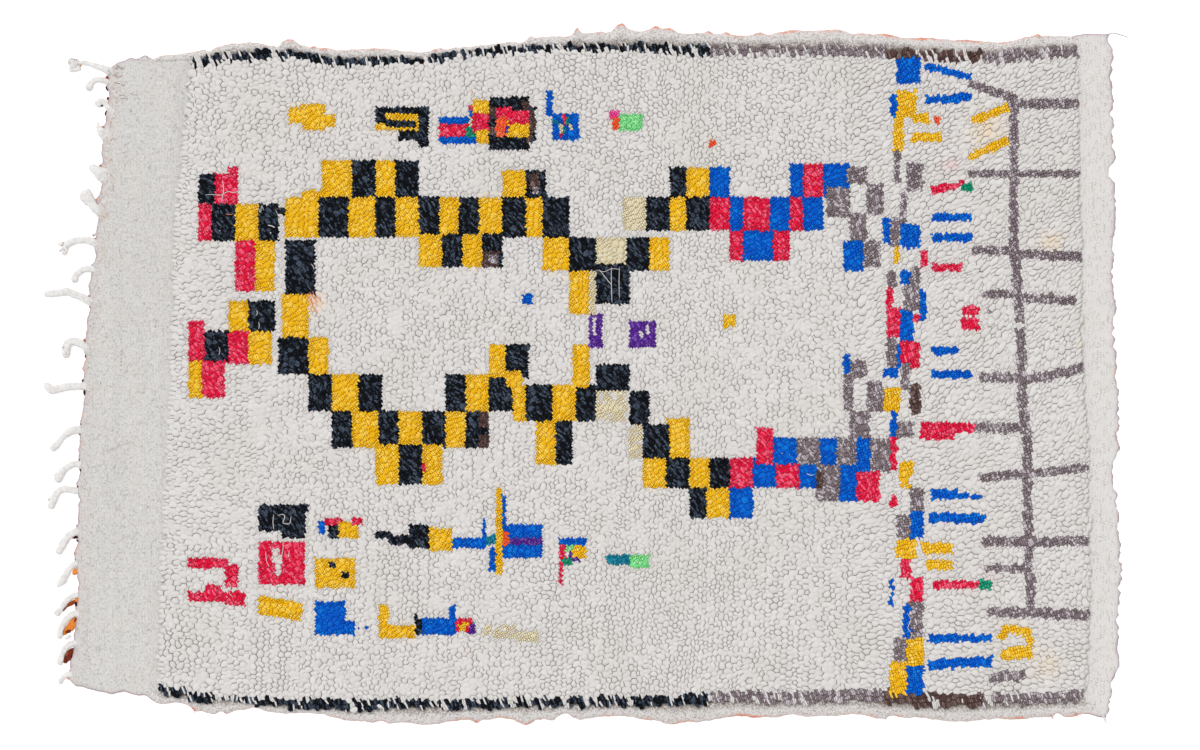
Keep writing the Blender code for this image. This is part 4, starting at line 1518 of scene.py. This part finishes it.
def felted_tufts(name, chosen, wool):
    """The tufts of whole white knots and the creases between them. A crease comes and goes along its way."""
    here = np.concatenate([rings[k] for k in chosen])
    there = np.concatenate([np.roll(rings[k], -1) for k in chosen])
    owner = np.repeat(np.arange(len(chosen)), [len(rings[k]) for k in chosen])
    way = corner[there] - corner[here]
    halfway = (corner[here] + corner[there]) / 2
    one_way = np.where(way[:, :1] + way[:, 1:] * 0.01 > 0, 1, -1)
    bow = 0.10 * ripples(*halfway.T, 4 * MM, 37.0)[:, None] * one_way
    halfway = halfway + np.column_stack([-way[:, 1], way[:, 0]]) * bow
    half_strong = np.concatenate([ring_strong[k] for k in chosen])
    place = in_turn(corner[here], halfway)
    edge = in_turn(at_edge[here], at_edge[here] & at_edge[there])
    strength = in_turn(strong[here], half_strong)
    height = np.where(edge, FOOT, pile_top(*place.T) - CREASE_DEEP * strength)
    # How much of the crease colour each point takes, from 0 for all of it to 1 for none: partly dirt, partly
    # painted shade
    tip = np.where(edge, 0.8, 1 - strength)
    return tufts(name, place, height, tip, np.repeat(owner, 2), 2, CREASE_HALF, wool, "white_pile")


def cut_ends(name, chosen, wool, slot):
    """The ends of the chosen slices, each rising from its own ring."""
    parts = [slices[k] for k in np.flatnonzero(chosen)]
    owner = np.repeat(np.arange(len(parts)), [len(part) for part in parts])
    place = np.array([point for part in parts for point in part])
    edge = place[:, 2] > 0.99
    white = slot == "white_pile"
    of_cell = place[:, 3]
    deep = WHITE_END_DEEP if white else END_DEEP * (1.0 - 0.5 * of_cell)
    height = np.where(edge, FOOT, pile_top(*place[:, :2].T) - deep)
    # How much of the crease colour each point takes, from 0 for all of it to 1 for none: painted shade, and
    # dirt too in the white wool
    tip = np.where(edge, 0.6, 0.7 if white else 0.55 * of_cell)
    return tufts(name, place[:, :2], height, tip, owner, 1, END_CREASE_HALF, wool, slot)


# The white pile is too much for one piece, so it is made in panels from left to right
WHITE_PANELS = 4
white_wool = wool_material("white_wool", white_colour, pile_height, 0.5 * MM)
for number, chosen in enumerate(np.array_split(whole[np.argsort(knot[whole, 0])], WHITE_PANELS)):
    felted_tufts(f"white_pile_{number + 1}", chosen, white_wool)
cut_ends("white_ends", in_dyed & (slice_dye == "W"), white_wool, "white_pile")
for letter, name, root, body, light in DYED_WOOL:
    dye_colour = dyed_colour(root, body, light)
    wool = wool_material(name.replace("pile", "wool"), dye_colour, pile_height, 0.5 * MM, 0.0)
    cut_ends(name, in_dyed & (slice_dye == letter), wool, "dyed_pile")

# Fringe
# The warps past the left end are gathered into cords, which wear has felted smooth. Some are knotted at the
# tip, and the cut ends of their warps stick out. Coloured yarn has caught in the notches between them.
CORD_SIDES = 12
CORD_PACE = 1.4 * MM
CORD_THICK = 0.56
CORD_BREADTH = 0.95
CORD_FLAT_FROM = 13 * MM
GROWS_OUT = 10 * MM

# The cut ends in the knots and the stubs on other cords, in the same terms as the cords
CUT_ENDS = (
    ((-756, 472.5, 10), (-766.2, 473.3, 12.5)),
    ((-753, 464.5, 8), (-766.3, 462.6, 9.5)),
    ((-741, 268, 14), (-741, 279, 9)),
    ((-740, 262, 12), (-749, 271, 12)),
    ((-773, 201, 9), (-784, 200, 6)),
    ((-774, 198, 9), (-777.2, 187.5, 8.6)),
    ((-778, 194, 5), (-784.5, 190.5, 3.6)),
    ((-775, 47, 14), (-774.5, 36, 13)),
    ((-775, 38, 9), (-775.5, 32, 6)),
    ((-791, -183, 9), (-800, -182.3, 6)),
    ((-786, -149, 10), (-789, -146, 8)),
    ((-735, 214, 6), (-733.5, 214, 4)),
    ((-768, -387, 5), (-775, -391, 4)),
)

# Yarn caught in the notches, in millimetres and degrees: its place, half its length and breadth, its turn,
# and its colour from orange (0) through red-brown to plum (1)
CAUGHT = (
    (-768.5, 462.5, 2.0, 0.8, 60, 0.40),
    (-752.6, 468.1, 1.0, 1.0, 0, 0.10),
    (-713.2, 449.3, 3.2, 2.4, 60, 0.45),
    (-713.4, 433.8, 3.4, 1.6, 115, 0.95),
    (-712.0, 418.5, 2.4, 1.8, 90, 0.70),
    (-710.8, 410.6, 2.8, 1.5, 120, 0.55),
    # This one is a dark patch of painted shade under the cord beside it
    (-721.0, 407.8, 2.0, 1.2, 30, 0.90),
    (-713.5, 396.5, 4.4, 2.8, 80, 0.80),
    (-720.0, 376.3, 2.2, 1.2, 20, 0.25),
    (-723.7, 317.6, 2.2, 1.5, 60, 0.30),
    (-729.0, 266.8, 2.0, 1.6, 0, 0.12),
    (-724.6, 237.2, 2.2, 1.3, 100, 0.90),
    (-731.6, 207.8, 1.8, 1.5, 0, 0.55),
    (-734.8, 168.5, 2.4, 1.4, 0, 0.25),
    (-734.6, 155.6, 1.8, 1.7, 0, 0.60),
    (-740.2, 121.6, 1.9, 1.7, 90, 0.45),
    (-738.4, 105.8, 1.6, 1.5, 0, 0.90),
    (-746.6, 55.6, 3.0, 1.4, 140, 0.45),
    (-745.2, 32.0, 2.6, 1.4, 100, 0.95),
    (-747.8, 11.2, 1.4, 1.3, 0, 0.30),
    (-748.3, -4.6, 2.9, 2.4, 0, 0.85),
    (-747.0, -22.6, 3.8, 1.9, 95, 1.00),
    (-752.3, -69.7, 1.6, 1.5, 0, 0.65),
    (-753.4, -85.0, 2.2, 1.2, 0, 0.80),
    (-754.6, -123.4, 2.2, 1.5, 90, 0.70),
    (-752.8, -138.4, 3.0, 1.8, 100, 0.85),
    (-757.0, -158.0, 4.5, 1.0, 80, 0.15),
    (-756.8, -163.0, 2.6, 2.0, 90, 0.65),
    (-757.4, -223.3, 2.6, 2.0, 90, 0.45),
    (-759.4, -239.4, 5.4, 1.9, 10, 1.00),
    (-763.6, -239.8, 2.0, 1.2, 10, 0.30),
    (-757.6, -244.4, 2.2, 1.3, 140, 0.75),
    (-761.6, -263.6, 1.6, 1.4, 0, 0.35),
    (-759.2, -267.4, 2.2, 1.4, 130, 0.60),
    (-760.6, -272.6, 2.2, 1.2, 90, 0.75),
    (-757.4, -273.0, 1.8, 1.2, 90, 0.85),
    (-760.2, -290.6, 5.6, 4.0, 35, 0.00),
    (-754.8, -291.0, 2.0, 1.4, 90, 0.75),
    (-758.0, -333.2, 3.8, 3.4, 0, 0.12),
    (-767.0, -338.6, 8.0, 2.6, 35, 0.42),
    (-757.6, -342.4, 6.5, 2.8, 120, 1.00),
    (-776.5, -346.5, 4.5, 1.0, 50, 0.50),
    (-767.2, -372.0, 16.5, 5.4, 50, 0.14),
    (-772.0, -379.5, 6.0, 3.4, 30, 0.62),
    (-761.0, -364.5, 6.0, 1.8, 65, 0.70),
    (-769.6, -416.4, 12.5, 5.8, 55, 0.68),
    (-772.4, -414.0, 5.0, 2.0, 50, 0.32),
    (-765.8, -418.5, 4.0, 2.2, 60, 1.00),
    (-769.0, -440.0, 2.0, 1.2, 90, 0.15),
    (-770.6, -451.4, 2.4, 1.2, 0, 0.15),
)
CAUGHT_SPREAD = 1.15
CAUGHT_FOOT = 0.2
CAUGHT_RISE = 2.8


def smooth_path(points, pace):
    """A smooth line through rows of x, y and width, with a point about every so far."""
    points = np.array(points, dtype=float) * MM
    gone = np.append(0.0, np.cumsum(np.hypot(*np.diff(points[:, :2], axis=0).T)))
    slope = np.gradient(points, gone, axis=0)
    places = np.linspace(0.0, gone[-1], max(6, round(gone[-1] / pace)))
    row = np.clip(np.searchsorted(gone, places) - 1, 0, len(gone) - 2)
    span = (gone[row + 1] - gone[row])[:, None]
    t = (places - gone[row])[:, None] / span
    start = (1 + 2 * t) * (1 - t) ** 2 * points[row] + t * (1 - t) ** 2 * span * slope[row]
    end = t**2 * (3 - 2 * t) * points[row + 1] + t**2 * (t - 1) * span * slope[row + 1]
    return start + end, places


def with_round_tip(points):
    """The rows of a cord and one more, half a width past the last, so that its end is a half circle."""
    (x0, y0, _), (x1, y1, wide) = points[-2:]
    run = math.hypot(x1 - x0, y1 - y0)
    return points + ((x1 + (x1 - x0) / run * wide / 2, y1 + (y1 - y0) / run * wide / 2, wide),)


def felt_tube(points, number, grows_out):
    """One cord: a flattened felt tube, round at its tip. At its root it rises out of the cloth."""
    path, gone = smooth_path(with_round_tip(points), CORD_PACE)
    go = np.gradient(path[:, :2], axis=0)
    side = np.column_stack([-go[:, 1], go[:, 0]]) / np.hypot(*go.T)[:, None]
    tip = points[-1][2] * MM / 2
    cap = np.sqrt(np.clip(1.0 - np.clip(1.0 - (gone[-1] - gone) / tip, 0.0, 1.0) ** 2, 0.03, 1.0))
    half = CORD_BREADTH * path[:, 2] / 2 * cap
    thick = CORD_THICK * np.minimum(path[:, 2], CORD_FLAT_FROM) * cap**0.8
    if grows_out:
        out = np.clip(gone / GROWS_OUT, 0.0, 1.0)
        thick = (CLOTH - 0.5 * MM) * (1 - out) + thick * out
    turn = 2 * np.pi * np.arange(CORD_SIDES) / CORD_SIDES
    across = np.sign(np.cos(turn)) * np.abs(np.cos(turn)) ** 0.8
    up = 0.5 + 0.5 * np.sign(np.sin(turn)) * np.abs(np.sin(turn)) ** 0.8
    x = path[:, :1] + side[:, :1] * half[:, None] * across
    y = path[:, 1:2] + side[:, 1:] * half[:, None] * across
    bumps = 0.5 * MM * ripples(x + number, y, 6 * MM, 40.0)
    x += side[:, :1] * bumps * across
    y += side[:, 1:] * bumps * across
    z = np.maximum(thick[:, None] * up * (1 + 0.10 * ripples(x, y, 7 * MM, 41.0)), 0.1 * MM)
    rows = len(path)
    faces = []
    for k in range(rows - 1):
        for s in range(CORD_SIDES):
            after = (s + 1) % CORD_SIDES
            low, high = k * CORD_SIDES, (k + 1) * CORD_SIDES
            faces.append([low + s, high + s, high + after, low + after])
    faces.append(list(range(CORD_SIDES)))
    faces.append(list(range(rows * CORD_SIDES - 1, (rows - 1) * CORD_SIDES - 1, -1)))
    rim = np.broadcast_to(np.abs(np.cos(turn)) ** 8, x.shape)
    return np.stack([x, y, z], axis=-1).reshape(-1, 3), faces, rim.ravel()


def cord_colour(bench, place):
    """Off-white felt with faint creases of painted shade, stronger and browner in the knots, and mauve
    towards its sides.
    """
    mottle = bench.grain(place, 190.0, 3.0)
    colour = bench.blend(bench.ramp(mottle, 0.40, 0.70), paint(229, 227, 225), paint(213, 210, 207))
    # Faint creases of painted shade, and stronger brown ones in the knots
    colour = bench.blend(bench.crease(place, 120.0, 0.03) * 0.35, colour, paint(186, 176, 172))
    knotted = bench.noted("knotted") * bench.crease(place, 170.0, 0.06)
    colour = bench.blend(knotted * 0.9, colour, paint(140, 108, 98))
    return bench.blend(bench.noted("rim") * 0.45, colour, paint(206, 186, 186))


def caught_colour(bench, place):
    """Orange yarn that turns red-brown and plum the darker it is set."""
    dark = bench.noted("dark") + (bench.grain(place, 300.0, 3.0) - 0.5) * 0.5
    colour = bench.blend(bench.ramp(dark, 0.05, 0.50), paint(228, 138, 56), paint(136, 52, 26))
    return bench.blend(bench.ramp(dark, 0.50, 0.90), colour, paint(52, 22, 30))


def caught_yarn(name):
    """The caught ends: small low domes, each turned its own way."""
    rings, sides = 4, 14
    points, faces, dark = [], [], []
    for x, y, long, broad, turned, darkness in CAUGHT:
        first = len(points)
        cos, sin = math.cos(math.radians(turned)), math.sin(math.radians(turned))
        for ring in range(rings):
            rise = ring / rings * math.pi / 2
            height = CAUGHT_FOOT + CAUGHT_RISE * math.sin(rise)
            for side in range(sides):
                turn = 2 * math.pi * side / sides
                ragged = 1 + 0.35 * noise.noise(Vector((math.cos(turn) * 2, math.sin(turn) * 2, len(faces))))
                out = CAUGHT_SPREAD * long * math.cos(rise) * math.cos(turn)
                over = CAUGHT_SPREAD * broad * math.cos(rise) * math.sin(turn)
                out, over = out * ragged, over * ragged
                dome = (x + out * cos - over * sin, y + out * sin + over * cos, height)
                points.append(tuple(value * MM for value in dome))
        points.append((x * MM, y * MM, (CAUGHT_FOOT + CAUGHT_RISE) * MM))
        for ring in range(rings - 1):
            for side in range(sides):
                after = (side + 1) % sides
                low, high = first + ring * sides, first + (ring + 1) * sides
                faces.append([low + side, low + after, high + after, high + side])
        last = first + (rings - 1) * sides
        faces += [[last + side, last + (side + 1) % sides, len(points) - 1] for side in range(sides)]
        dark += [darkness] * (len(points) - first)
    mesh = mesh_of(name, points, faces)
    note(mesh, "dark", dark)
    wool = wool_material("caught_wool", caught_colour, pile_height, 0.5 * MM, 0.0)
    return finished(name, mesh, wool, "dyed_pile", "left_fringe")


points, faces, rim, knotted = [], [], [], []
for number, cord in enumerate(CORDS + CUT_ENDS):
    tube_points, tube_faces, tube_rim = felt_tube(cord, number, number < len(CORDS))
    faces += [[index + len(points) for index in face] for face in tube_faces]
    points += tube_points.tolist()
    rim += tube_rim.tolist()
    knotted += [float(number >= len(CORDS))] * len(tube_points)
fringe_mesh = mesh_of("fringe_cords", points, faces)
note(fringe_mesh, "rim", rim)
note(fringe_mesh, "knotted", knotted)
cord_wool = wool_material("cord_wool", cord_colour, felt_height, 0.6 * MM)
fringe = finished("fringe_cords", fringe_mesh, cord_wool, "felted_cord", "left_fringe")
caught = caught_yarn("caught_yarn")

# Loose threads
# Here and there an end of yarn has worked loose and lies on the pile or on the bare cloth, where some have
# felted in. Each is one thin strand, and a few trail from the corners and the near edge.
#     colour  thick  the places that it runs through, in millimetres
THREADS = (
    ("grey", 1.4, ((783, 511), (788, 514), (794, 517), (806, 514.5), (819.5, 510))),
    ("rose", 1.8, ((700, -504), (706, -512))),
    ("rose", 1.8, ((738, -502), (742, -508.5))),
    ("white", 3.2, ((777, -503), (782, -510), (785, -518))),
    ("rose", 0.8, ((-583, -495.5), (-581.5, -504))),
    ("white", 1.1, ((-538.5, 296), (-537, 280), (-540, 264))),
    ("white", 1.0, ((-564, 273.5), (-554.5, 274), (-542.5, 273), (-536.5, 275.5), (-529, 278.5),
     (-522.5, 276.5), (-514, 280))),
    ("white", 0.8, ((-485.5, 256), (-482, 247), (-480, 257), (-477, 250))),
    ("white", 0.7, ((-460, 251.5), (-455.5, 242.5), (-454, 230.5))),
    ("white", 1.6, ((-470.5, 228), (-465, 227), (-460, 224.5))),
    ("white", 1.6, ((-467, 218), (-466, 215.5))),
    ("white", 1.3, ((-543, 220.5), (-542, 219))),
    ("orange", 1.0, ((-534, 245), (-529, 244), (-523.5, 244.5))),
    ("black", 1.4, ((-461.5, 251.5), (-455.5, 252.5), (-448, 254.5))),
    ("white", 0.9, ((-487.5, 101.5), (-486.5, 97), (-488, 92.5))),
    ("white", 0.9, ((-484.5, 83.5), (-483.5, 78), (-484.5, 73))),
    ("white", 0.9, ((-406, 170.5), (-403, 166), (-401.5, 161.5))),
    ("white", 0.8, ((-544, 46), (-542.5, 40), (-544, 34))),
    ("brown", 0.6, ((-598, 65.5), (-593.5, 59.5), (-587.5, 56.5))),
    ("white", 1.0, ((338, -107), (342.5, -111.5), (347, -113))),
    ("white", 1.0, ((335, -143), (341, -146), (345.5, -145))),
    ("white", 1.0, ((362, -141.5), (366.5, -146), (369.5, -152))),
    ("white", 1.3, ((298, -112.5), (299, -114))),
    ("white", 1.3, ((309, -115), (310, -116))),
    ("rose", 0.9, ((210, -114.5), (210.5, -118), (209.5, -122))),
    ("orange", 1.3, ((237, -109), (238, -110))),
    ("white", 0.9, ((351.5, -78.5), (359, -72.5), (368, -77), (365, -84.5), (356, -83))),
    ("white", 0.9, ((375.5, -92), (383, -87.5), (390.5, -93.5), (387.5, -102.5))),
    ("white", 0.9, ((-530.5, -305), (-526, -312.5), (-529, -320), (-523, -329))),
    ("white", 0.9, ((-518.5, -303.5), (-515.5, -311), (-520, -318.5))),
    ("white", 0.9, ((488, -309.5), (492.5, -314), (489.5, -318.5))),
    ("white", 0.9, ((485, -351.5), (491, -362), (486.5, -374), (492.5, -384.5), (488, -393.5))),
    ("white", 0.8, ((3.5, 494.5), (7, 487), (11, 479.5))),
    ("white", 0.8, ((51, 500.5), (54.5, 493), (57, 484))),
    ("white", 0.8, ((20, 161.5), (32, 158.5), (44, 163), (56, 161.5))),
    ("brown", 0.7, ((-228, 452), (-227, 450))),
    ("brown", 0.7, ((-231, 428), (-230, 426))),
    ("brown", 0.7, ((-231, 416), (-230, 414))),
    ("orange", 0.8, ((-166, 431.5), (-165, 427), (-166.5, 421))),
    ("rose", 1.2, ((736, 433.5), (738.5, 432.5))),
    ("rose", 1.1, ((-639, 402), (-638, 401))),
    ("orange", 1.0, ((-707, 370.5), (-706.5, 369))),
    ("orange", 1.0, ((-704.5, 358.5), (-703.5, 357.5))),
    ("orange", 1.0, ((-735.5, -31), (-734.5, -32.5))),
    ("brown", 1.0, ((-722.5, -6), (-722, -10))),
    ("brown", 1.0, ((-716, -262.5), (-715.5, -263.5))),
    ("brown", 1.0, ((-716, -269), (-715.5, -270.5))),
    ("brown", 1.0, ((-697.5, -289.5), (-696.5, -290.5))),
    ("brown", 1.0, ((-611, 238.5), (-610.5, 237))),
    ("brown", 0.7, ((-713.5, 459), (-710.5, 461), (-708, 455.5), (-711, 453))),
    ("brown", 0.9, ((-702, 464.5), (-698.5, 463), (-695.5, 467), (-692.5, 463), (-689, 464),
     (-686.5, 466))),
    ("brown", 0.7, ((-703, 455.5), (-698.5, 452), (-696, 450), (-689, 453))),
    ("brown", 0.9, ((-702, 443), (-697, 441), (-693, 441))),
    ("brown", 0.7, ((-692, 440), (-688, 438), (-686, 440.5))),
    ("brown", 0.7, ((-695, 422), (-691, 423.5), (-685, 422), (-682, 417.5))),
    ("brown", 0.9, ((-693, 418.5), (-687, 418.5), (-682, 417))),
    ("brown", 0.6, ((-719.5, -111.5), (-709, -109), (-697, -103), (-679, -98))),
    ("brown", 0.6, ((-677.5, 425.5), (-673, 423.5), (-667, 424.5))),
    ("white", 1.0, ((43, 166), (43, 140), (44, 112))),
    ("white", 0.9, ((55, 166), (54.5, 140), (55, 118))),
    ("white", 1.0, ((25, 162), (34, 150), (44, 138))),
    ("orange", 1.6, ((-415, 124), (-408, 118), (-403, 108))),
    ("orange", 1.4, ((-409, 128), (-402, 120), (-396, 112))),
    ("orange", 1.2, ((-404, 130), (-400, 122), (-392, 118))),
    ("orange", 1.2, ((-405, 108), (-399, 100), (-396, 96))),
    ("white", 1.0, ((-462, -204.5), (-463, -215), (-462, -227))),
    ("white", 1.1, ((-456, -206), (-448, -204.5), (-445.5, -209), (-448, -217), (-438.5, -218),
     (-436, -207))),
    ("white", 1.0, ((-448, -242), (-448, -255.5), (-451, -272))),
    ("white", 1.0, ((-438.5, -258.5), (-440, -269))),
    ("white", 1.0, ((-474, -260), (-472.5, -274.5), (-468.5, -283))),
    ("white", 1.2, ((376, -66), (382, -74), (388, -84), (394, -90))),
    ("white", 1.0, ((-689.5, 11), (-680, 6), (-666.5, 6), (-653.5, 10.5))),
    ("white", 1.0, ((-677, 147), (-671.5, 138.5), (-659.5, 131.5))),
)

# The stitches that darn a place on the bare cloth, in millimetres: where their row runs and their heights
DARN_X = -692
DARN_HEIGHTS = (58, 53, 40, 34.5, 28.5, 23.5, 19, 12)
DARNED = tuple(("black", 1.0, ((DARN_X, y + 1), (DARN_X + 0.3, y - 1))) for y in DARN_HEIGHTS)
THREAD_TINTS = {"white": 0.1, "grey": 0.25, "rose": 0.4, "orange": 0.55, "brown": 0.7, "black": 0.9}
THREAD_PACE = 0.7 * MM
THREAD_SIDES = 5
SELVEDGE_WIDE = 20 * MM
SELVEDGE_TO = 750 * MM


def thread_colour(bench, place):
    """Each strand's own colour, a little uneven along its way."""
    tints = bench.node("ShaderNodeValToRGB", {"Fac": bench.noted("tint")}, stops=(
        (0.10, paint(226, 222, 218)[:3]),
        (0.25, paint(182, 176, 172)[:3]),
        (0.40, paint(214, 148, 140)[:3]),
        (0.55, paint(224, 116, 66)[:3]),
        (0.70, paint(128, 114, 108)[:3]),
        (0.90, paint(34, 38, 46)[:3]),
    ))
    return bench.blend(bench.grain(place, 500.0) * 0.3, tints, paint(176, 168, 162))


def strand_tree(wool):
    """Geometry Nodes that turn each run of edges into a smooth strand, thin at both ends."""
    tree = bpy.data.node_groups.new("strands", "GeometryNodeTree")
    bench = Bench(tree)
    inputs = {"Runs": "NodeSocketGeometry", "Pace": "NodeSocketFloat", "Sides": "NodeSocketInt"}
    for name, kind in inputs.items():
        tree.interface.new_socket(name, in_out="INPUT", socket_type=kind)
    tree.interface.new_socket("Strands", in_out="OUTPUT", socket_type="NodeSocketGeometry")
    entry = tree.nodes.new("NodeGroupInput")
    runs, pace, sides = (Signal(bench, entry.outputs[name]) for name in inputs)
    curve = bench.node("GeometryNodeMeshToCurve", {"Mesh": runs})
    curve = bench.node("GeometryNodeCurveSplineType", {"Curve": curve}, spline_type="CATMULL_ROM")
    curve = bench.node("GeometryNodeResampleCurve", {"Curve": curve, "Length": pace}, mode="LENGTH")
    ring = bench.node("GeometryNodeCurvePrimitiveCircle", {"Resolution": sides, "Radius": 1.0})
    thick = bench.node("GeometryNodeInputNamedAttribute", {"Name": "thick"}, data_type="FLOAT")
    from_middle = bench.math("ABSOLUTE", bench.node("GeometryNodeSplineParameter") * 2.0 - 1.0)
    taper = 1.0 - from_middle**6 * 0.7
    sockets = {"Curve": curve, "Profile Curve": ring, "Scale": thick * taper * 0.5, "Fill Caps": True}
    strands = bench.node("GeometryNodeCurveToMesh", sockets)
    strands = bench.node("GeometryNodeRealizeInstances", {"Geometry": strands})
    strands = bench.node("GeometryNodeSetMaterial", {"Geometry": strands, "Material": wool})
    tree.links.new(strands.socket, tree.nodes.new("NodeGroupOutput").inputs["Strands"])
    return tree


def resting_height(x, y):
    """What a strand rests on at a place: the pile, a selvedge, the bare cloth or the floor."""
    place = np.array([[x, y]])
    if in_pile(*place.T)[0]:
        return float(pile_top(*place.T)[0])
    on_cloth = read(left_edge, y) < x < read(right_edge, y) and read(near_edge, x) < y < read(far_edge, x)
    if not on_cloth:
        return 0.0
    from_edge = min(y - read(near_edge, x), read(far_edge, x) - y)
    return SELVEDGE if from_edge < SELVEDGE_WIDE and x < SELVEDGE_TO else CLOTH


points, edges, thick, tint = [], [], [], []
for colour, width, places in THREADS + DARNED:
    for k, (x, y) in enumerate(places):
        if k:
            edges.append((len(points) - 1, len(points)))
        points.append((x * MM, y * MM, resting_height(x * MM, y * MM) + 0.5 * width * MM))
        thick.append(width * MM)
        tint.append(THREAD_TINTS[colour])
runs_mesh = bpy.data.meshes.new("runs")
runs_mesh.from_pydata(points, edges, [])
note(runs_mesh, "thick", thick)
note(runs_mesh, "tint", tint)
runs = bpy.data.objects.new("runs", runs_mesh)
scene.collection.objects.link(runs)
thread_wool = wool_material("thread_wool", thread_colour, pile_height, 0.2 * MM)
tree = strand_tree(thread_wool)
growth = runs.modifiers.new("strands", "NODES")
growth.node_group = tree
sizes = {"Pace": THREAD_PACE, "Sides": THREAD_SIDES}
for socket in tree.interface.items_tree:
    if socket.name in sizes:
        growth[socket.identifier] = sizes[socket.name]
strand_mesh = bpy.data.meshes.new_from_object(runs.evaluated_get(bpy.context.evaluated_depsgraph_get()))
strand_mesh.name = "loose_threads"
bpy.data.objects.remove(runs)
threads = finished("loose_threads", strand_mesh, thread_wool, "dyed_pile", "rug_body")

# The length and width of the whole rug, which lies flat as one sheet of cloth
flat_length = float(right_edge[:, 1].mean() - left_edge[:, 1].mean())
flat_width = float(far_edge[:, 1].mean() - near_edge[:, 1].mean())
